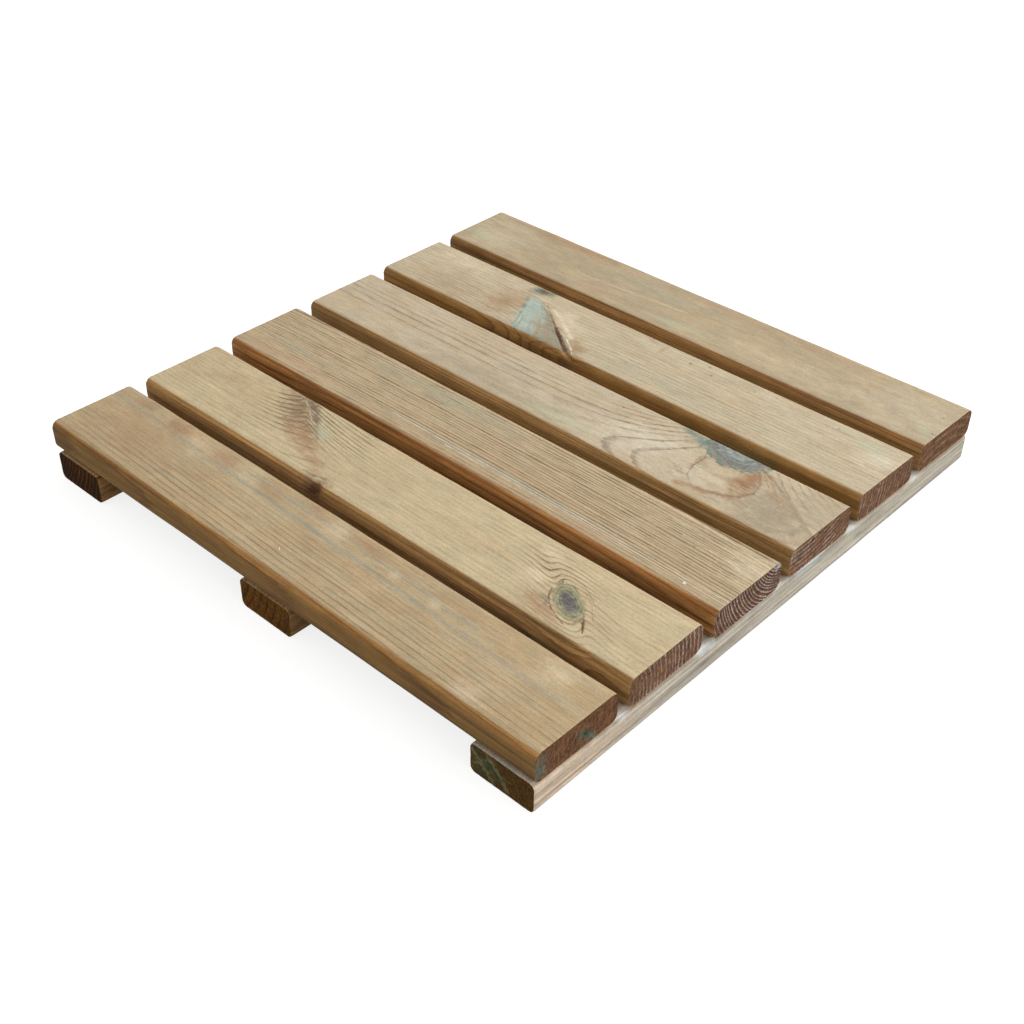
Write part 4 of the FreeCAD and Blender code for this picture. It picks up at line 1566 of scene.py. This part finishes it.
def bearers(staples: "StapleSet") -> tuple[TimberBar, ...]:
    """The three bearers, from the left one to the right one.

    Args:
        staples: The staples that go up through them.
    """
    radius = 4.2
    cells = SectionCells(18, 40, 12, 5)
    shared = {"runs": Run.ALONG_Y, "cells": cells, "station_step": 1.5}
    dark = {
        "early": (0.42, 0.25, 0.10, 1.0),
        "late": (0.24, 0.13, 0.05, 1.0),
        "side": (0.36, 0.20, 0.075, 1.0),
        "side_late": (0.18, 0.095, 0.035, 1.0),
    }
    pale = (0.57, 0.52, 0.435, 1.0)
    pale_late = (0.41, 0.36, 0.29, 1.0)
    return (
        TimberBar(
            "bearer_left",
            radius,
            Figure(112.0, 52.0, 4.2, 71),
            TimberFinish(
                **dark,
                end=(0.034, 0.012, 0.003, 1.0),
                end_late=(0.19, 0.066, 0.0085, 1.0),
                soaked=(0.014, 0.006, 0.002, 1.0),
                end_line_strength=1.0,
                end_marks=(
                    Spot(Tone.PITCH, 46.0, 12.0, 24.0, 16.0, 0.0, 0.75, 1.0),
                    Spot(Tone.PITCH, 2.0, 12.0, 12.0, 18.0, 0.0, 0.85, 1.0),
                ),
            ),
            **shared,
            pits=staples.pits("bearer_left"),
        ),
        TimberBar(
            "bearer_middle",
            radius,
            Figure(78.0, 34.0, 3.6, 72),
            TimberFinish(
                **dark,
                end=(0.18, 0.078, 0.014, 1.0),
                end_late=(0.04, 0.014, 0.004, 1.0),
                soaked=(0.10, 0.042, 0.008, 1.0),
                end_line_strength=0.9,
                end_ring_scale=0.55,
                end_marks=(Spot(Tone.UMBER, 4.0, 12.0, 6.0, 14.0, 0.0, 0.7, 1.0),),
            ),
            **shared,
            pits=staples.pits("bearer_middle"),
        ),
        TimberBar(
            "bearer_right",
            radius,
            Figure(26.0, 90.0, 3.6, 73),
            TimberFinish(
                early=pale,
                late=pale_late,
                side=pale,
                side_late=pale_late,
                side_blush=0.45,
                deep_marks=(
                    Spot(Tone.PEACH, -235.0, 0.0, 125.0, 20.0, 0.0, 0.95, 1.0, 12.0, 30.0),
                    Spot(Tone.SAGE, 140.0, 0.0, 190.0, 20.0, 0.0, 0.22, 1.0, 10.0, 30.0),
                    Spot(Tone.SALT, -172.0, 0.0, 12.0, 8.0, 0.0, 0.5, 1.0, 23.0, 5.0),
                    Spot(Tone.SALT, -86.0, 0.0, 18.0, 8.0, 0.0, 0.75, 1.0, 23.0, 5.5),
                    Spot(Tone.SALT, -20.0, 0.0, 40.0, 8.0, 0.0, 0.4, 1.0, 24.0, 4.0),
                    Spot(Tone.SALT, 33.0, 0.0, 34.0, 8.0, 0.0, 0.8, 1.0, 23.0, 5.5),
                    Spot(Tone.SALT, 90.0, 0.0, 14.0, 8.0, 0.0, 0.5, 1.0, 23.0, 5.0),
                    Spot(Tone.SALT, 176.0, 0.0, 12.0, 8.0, 0.0, 0.5, 1.0, 23.0, 5.0),
                    Spot(Tone.SLATE, -90.0, 0.0, 14.0, 8.0, 0.0, 0.4, 1.0, 11.0, 4.0),
                    Spot(Tone.SLATE, 98.0, 0.0, 7.0, 8.0, 0.0, 0.55, 1.0, 13.0, 3.0),
                ),
                end=(0.135, 0.064, 0.016, 1.0),
                end_late=(0.095, 0.074, 0.024, 1.0),
                soaked=(0.06, 0.037, 0.012, 1.0),
                end_line_strength=0.3,
                end_marks=(
                    Spot(Tone.MOSS, 40.0, 12.0, 22.0, 18.0, 0.0, 0.85, 1.0),
                    Spot(Tone.FERN, 46.0, 18.0, 9.0, 4.0, 40.0, 0.8, 1.0),
                    Spot(Tone.FERN, 36.0, 14.0, 9.0, 4.0, 40.0, 0.8, 1.0),
                    Spot(Tone.FERN, 28.0, 9.0, 9.0, 5.0, 40.0, 0.8, 1.0),
                    Spot(Tone.FERN, 44.0, 5.0, 8.0, 3.0, 40.0, 0.7, 1.0),
                    Stroke(Tone.OLIVE, (51.0, 19.0), (34.0, 2.0), 2.8, 0.75, 1.0, 2.8),
                    Stroke(Tone.OLIVE, (38.0, 22.0), (22.0, 4.0), 2.6, 0.75, 1.0, 2.6),
                    Stroke(Tone.OLIVE, (50.0, 8.0), (36.0, 21.0), 1.8, 0.5, 1.0, 1.8),
                ),
            ),
            **shared,
            pits=staples.pits("bearer_right"),
        ),
    )


@dataclass(frozen=True)
class StapleSet:
    """The wire staples, two at each crossing, driven up from under the bearers."""

    node: str = "underside_staples"
    slot: str = "staple_steel"
    crown: float = 11.0
    wire_thickness: float = 1.4
    wire_width: float = 1.6
    bend: float = 0.9
    sink: float = 0.5
    tip_up: float = 40.5
    point_length: float = 3.0
    turn: float = 30.0
    bearer_margin: float = 14.0
    board_margin: float = 18.0

    SIZES = {
        "Crown": "crown",
        "Wire Thickness": "wire_thickness",
        "Wire Width": "wire_width",
        "Bend": "bend",
        "Sink": "sink",
        "Tip Up": "tip_up",
        "Point Length": "point_length",
    }

    def places(self, bearer: str) -> list[Point]:
        """Where the staples through one bearer stand, along X and Y."""
        low, high = (np.array(corner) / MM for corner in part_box(bearer))
        middle, reach = (low[0] + high[0]) / 2.0, (high[0] - low[0]) / 2.0 - self.bearer_margin
        found = []
        for number in range(1, BOARD_COUNT + 1):
            front, back = (corner[1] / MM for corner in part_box(f"deck_board_{number}"))
            centre, aside = (front + back) / 2.0, (back - front) / 2.0 - self.board_margin
            found += [(middle - reach, centre - aside), (middle + reach, centre + aside)]
        return found

    def pits(self, bearer: str) -> tuple[Point, ...]:
        """The same places in the bearer's own frame, along and across."""
        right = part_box(bearer)[1][0] / MM
        return tuple((y, right - x) for x, y in self.places(bearer))

    def wire_tree(self) -> bpy.types.NodeTree:
        """Bends one pointed wire and sets a copy of it at every point that comes in."""
        sizes = tuple((name, FLOAT) for name in self.SIZES)
        made = SharedGroup(
            "staple_wires",
            (("Points", GEOMETRY), *sizes, ("Turn", FLOAT), ("Steel", MATERIAL)),
            (("Staples", GEOMETRY),),
            "GeometryNodeTree",
        )
        wiring, tip = made.wiring, made.give("Tip Up")
        half = wiring.math("MULTIPLY", 0.5, wiring.math("SUBTRACT", made.give("Crown"), made.give("Wire Thickness")))
        low = wiring.math("MULTIPLY_ADD", made.give("Wire Thickness"), 0.5, made.give("Sink"))
        shoulder = wiring.math("SUBTRACT", tip, made.give("Point Length"))
        legs = ((wiring.math("MULTIPLY", half, -1.0), (tip, shoulder, low)), (half, (low, shoulder, tip)))
        corners = []
        for aside, heights in legs:
            for up in heights:
                corners.append(wiring.add("ShaderNodeCombineXYZ", {0: aside, 2: up}).outputs[0])
        choice = wiring.add("GeometryNodeIndexSwitch", data_type="VECTOR")
        while len(choice.index_switch_items) < len(corners):
            choice.index_switch_items.new()
        feeds = {"Index": wiring.add("GeometryNodeInputIndex").outputs[0]}
        feeds |= {str(number): corner for number, corner in enumerate(corners)}
        for name, value in feeds.items():
            wiring.tree.links.new(value, choice.inputs[name])
        line = wiring.add("GeometryNodeMeshLine", {"Count": len(corners)}).outputs[0]
        placed = wiring.add("GeometryNodeSetPosition", {"Geometry": line, "Position": choice.outputs[0]}).outputs[0]
        curve = wiring.add("GeometryNodeMeshToCurve", {"Mesh": placed}).outputs[0]
        feeds = {"Curve": curve, "Radius": made.give("Bend"), "Limit Radius": True}
        bent = wiring.add("GeometryNodeFilletCurve", feeds).outputs[0]
        here = wiring.add("GeometryNodeInputPosition").outputs[0]
        up = wiring.add("ShaderNodeSeparateXYZ", {0: here}).outputs[2]
        taper = wiring.add("ShaderNodeMapRange", {0: up, 1: shoulder, 2: tip, 3: 1.0, 4: 0.3}).outputs[0]
        feeds = {"Width": made.give("Wire Thickness"), "Height": made.give("Wire Width")}
        profile = wiring.add("GeometryNodeCurvePrimitiveQuadrilateral", feeds).outputs[0]
        feeds = {"Curve": bent, "Profile Curve": profile, "Scale": taper, "Fill Caps": True}
        wire = wiring.add("GeometryNodeCurveToMesh", feeds).outputs[0]
        turned = wiring.add("ShaderNodeCombineXYZ", {2: made.give("Turn")}).outputs[0]
        feeds = {"Points": made.give("Points"), "Instance": wire, "Rotation": turned}
        copies = wiring.add("GeometryNodeInstanceOnPoints", feeds).outputs[0]
        real = wiring.add("GeometryNodeRealizeInstances", {"Geometry": copies}).outputs[0]
        feeds = {"Geometry": real, "Material": made.give("Steel")}
        made.put("Staples", wiring.add("GeometryNodeSetMaterial", feeds).outputs[0])
        return made.tree

    def steel(self) -> bpy.types.Material:
        """Dull galvanised wire, a little uneven."""
        material = bpy.data.materials.new("galvanised_wire")
        material.use_nodes = True
        material.node_tree.nodes.clear()
        wiring = Wiring(material.node_tree)
        place = wiring.vector("SCALE", wiring.add("ShaderNodeTexCoord").outputs["Object"])
        place.node.inputs["Scale"].default_value = 1.0 / MM
        dull = wiring.noise(place, (3.0, 3.0, 6.0), 4.0, 0.6)
        colour = wiring.tint(dull, (0.30, 0.31, 0.32, 1.0), (0.52, 0.53, 0.54, 1.0))
        feeds = {"Base Color": colour, "Metallic": 1.0, "Roughness": wiring.between(dull, 0.3, 0.6)}
        shader = wiring.add("ShaderNodeBsdfPrincipled", feeds)
        wiring.add("ShaderNodeOutputMaterial", {"Surface": shader.outputs[0]})
        return material

    def dress(self) -> bpy.types.Object:
        """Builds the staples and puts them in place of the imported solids."""
        corners = [(x * MM, y * MM, 0.0) for bearer in BEARERS for x, y in self.places(bearer)]
        points = bpy.data.meshes.new("staple_points")
        points.from_pydata(corners, [], [])
        piece = bpy.data.objects.new("wire_staples", points)
        bpy.context.scene.collection.objects.link(piece)
        tree = self.wire_tree()
        bender = piece.modifiers.new("staple_wires", "NODES")
        bender.node_group = tree
        sockets = {item.name: item.identifier for item in tree.interface.items_tree if item.in_out == "INPUT"}
        for name, value in self.SIZES.items():
            bender[sockets[name]] = getattr(self, value) * MM
        bender[sockets["Turn"]] = math.radians(self.turn)
        bender[sockets["Steel"]] = self.steel()
        made = bpy.data.meshes.new_from_object(piece.evaluated_get(bpy.context.evaluated_depsgraph_get()))
        piece.modifiers.remove(bender)
        piece.data = made
        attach(piece, BODY)
        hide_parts(self.node)
        log.info("%s: %d faces", piece.name, len(made.polygons))
        return piece


@dataclass(frozen=True)
class AreaLamp:
    """A soft square lamp aimed at the middle of the tile."""

    name: str
    place: tuple[float, float, float]
    size: float
    watts: float

    def build(self) -> None:
        """Makes the lamp."""
        data = bpy.data.lights.new(self.name, "AREA")
        data.shape = "SQUARE"
        data.size = self.size
        data.energy = self.watts
        lamp = bpy.data.objects.new(self.name, data)
        lamp.location = self.place
        lamp.rotation_euler = (-lamp.location).to_track_quat("-Z", "Y").to_euler()
        bpy.context.scene.collection.objects.link(lamp)


@dataclass
class Studio:
    """The camera at the photograph's angle, the pale floor, the lamps and the sky."""

    camera_place: tuple[float, float, float] = (624.43, -681.54, 659.69)
    camera_right: tuple[float, float, float] = (0.73082416, 0.68250251, 0.00929378)
    camera_up: tuple[float, float, float] = (-0.41916764, 0.43801575, 0.7952614)
    lens: float = 50.6135
    floor_half: float = 6.0
    sky_strength: float = 0.62
    lamps: tuple[AreaLamp, ...] = (
        AreaLamp("back_key", (0.75, 1.50, 1.95), 1.0, 40.0),
        AreaLamp("right_fill", (2.3, -0.1, 0.9), 1.4, 15.0),
    )

    def build(self) -> None:
        """Makes everything that the tile is seen with."""
        bpy.context.scene.view_settings.view_transform = "Standard"
        self.camera()
        for lamp in self.lamps:
            lamp.build()
        self.sky()
        self.floor()

    def camera(self) -> None:
        """Places the camera."""
        right, up = Vector(self.camera_right), Vector(self.camera_up)
        back = right.cross(up)
        data = bpy.data.cameras.new("camera")
        data.lens = self.lens
        data.sensor_width = 36.0
        data.sensor_fit = "HORIZONTAL"
        data.clip_start = 0.01
        camera = bpy.data.objects.new("camera", data)
        turned = Matrix((right, up, back)).transposed().to_4x4()
        camera.matrix_world = Matrix.Translation(Vector(self.camera_place) * MM) @ turned
        bpy.context.scene.collection.objects.link(camera)
        bpy.context.scene.camera = camera

    def seen_directly(self, wiring: Wiring) -> Socket:
        """1 for what the camera sees directly or in a reflection."""
        path = wiring.add("ShaderNodeLightPath").outputs
        seen = wiring.math("MAXIMUM", path["Is Camera Ray"], path["Is Glossy Ray"])
        return wiring.math("MAXIMUM", seen, path["Is Transmission Ray"])

    def sky(self) -> None:
        """A plain white sky that lights the tile softly."""
        world = bpy.data.worlds.new("sky")
        bpy.context.scene.world = world
        world.use_nodes = True
        world.node_tree.nodes.clear()
        wiring = Wiring(world.node_tree)
        light = wiring.add("ShaderNodeBackground", {"Color": (1.0, 0.99, 0.97, 1.0), "Strength": self.sky_strength})
        shown = wiring.add("ShaderNodeBackground", {"Color": (1.0, 1.0, 1.0, 1.0), "Strength": 1.0})
        feeds = {0: self.seen_directly(wiring), 1: light.outputs[0], 2: shown.outputs[0]}
        mixed = wiring.add("ShaderNodeMixShader", feeds)
        wiring.add("ShaderNodeOutputWorld", {"Surface": mixed.outputs[0]})

    def floor(self) -> None:
        """A pale floor that keeps the tile's soft shadow, and is clear when seen from below."""
        half = self.floor_half
        corners = [(-half, -half, 0.0), (half, -half, 0.0), (half, half, 0.0), (-half, half, 0.0)]
        mesh = bpy.data.meshes.new("floor")
        mesh.from_pydata(corners, [], [(0, 1, 2, 3)])
        material = bpy.data.materials.new("floor_white")
        material.use_nodes = True
        material.node_tree.nodes.clear()
        wiring = Wiring(material.node_tree)
        bounced = wiring.add("ShaderNodeBsdfDiffuse", {"Color": (0.22, 0.21, 0.2, 1.0)}).outputs[0]
        seen = wiring.add("ShaderNodeBsdfDiffuse", {"Color": (0.4, 0.4, 0.4, 1.0)}).outputs[0]
        glow = wiring.add("ShaderNodeEmission", {"Strength": 0.8}).outputs[0]
        bright = wiring.add("ShaderNodeAddShader", {0: seen, 1: glow}).outputs[0]
        feeds = {0: self.seen_directly(wiring), 1: bounced, 2: bright}
        upper = wiring.add("ShaderNodeMixShader", feeds).outputs[0]
        clear = wiring.add("ShaderNodeBsdfTransparent").outputs[0]
        below = wiring.add("ShaderNodeNewGeometry").outputs["Backfacing"]
        mixed = wiring.add("ShaderNodeMixShader", {0: below, 1: upper, 2: clear})
        wiring.add("ShaderNodeOutputMaterial", {"Surface": mixed.outputs[0]})
        mesh.materials.append(material)
        floor = bpy.data.objects.new("floor", mesh)
        bpy.context.scene.collection.objects.link(floor)


def main() -> None:
    """Builds and dresses the tile, and sets up the studio."""
    logging.basicConfig(level=logging.INFO, format="%(name)s %(message)s")
    painter = TimberPainter(WoodEffects())
    staples = StapleSet()
    for bar in (*deck_boards(), *bearers(staples)):
        bar.dress(painter)
    staples.dress()
    Studio().build()


if __name__ == "__main__":
    main()
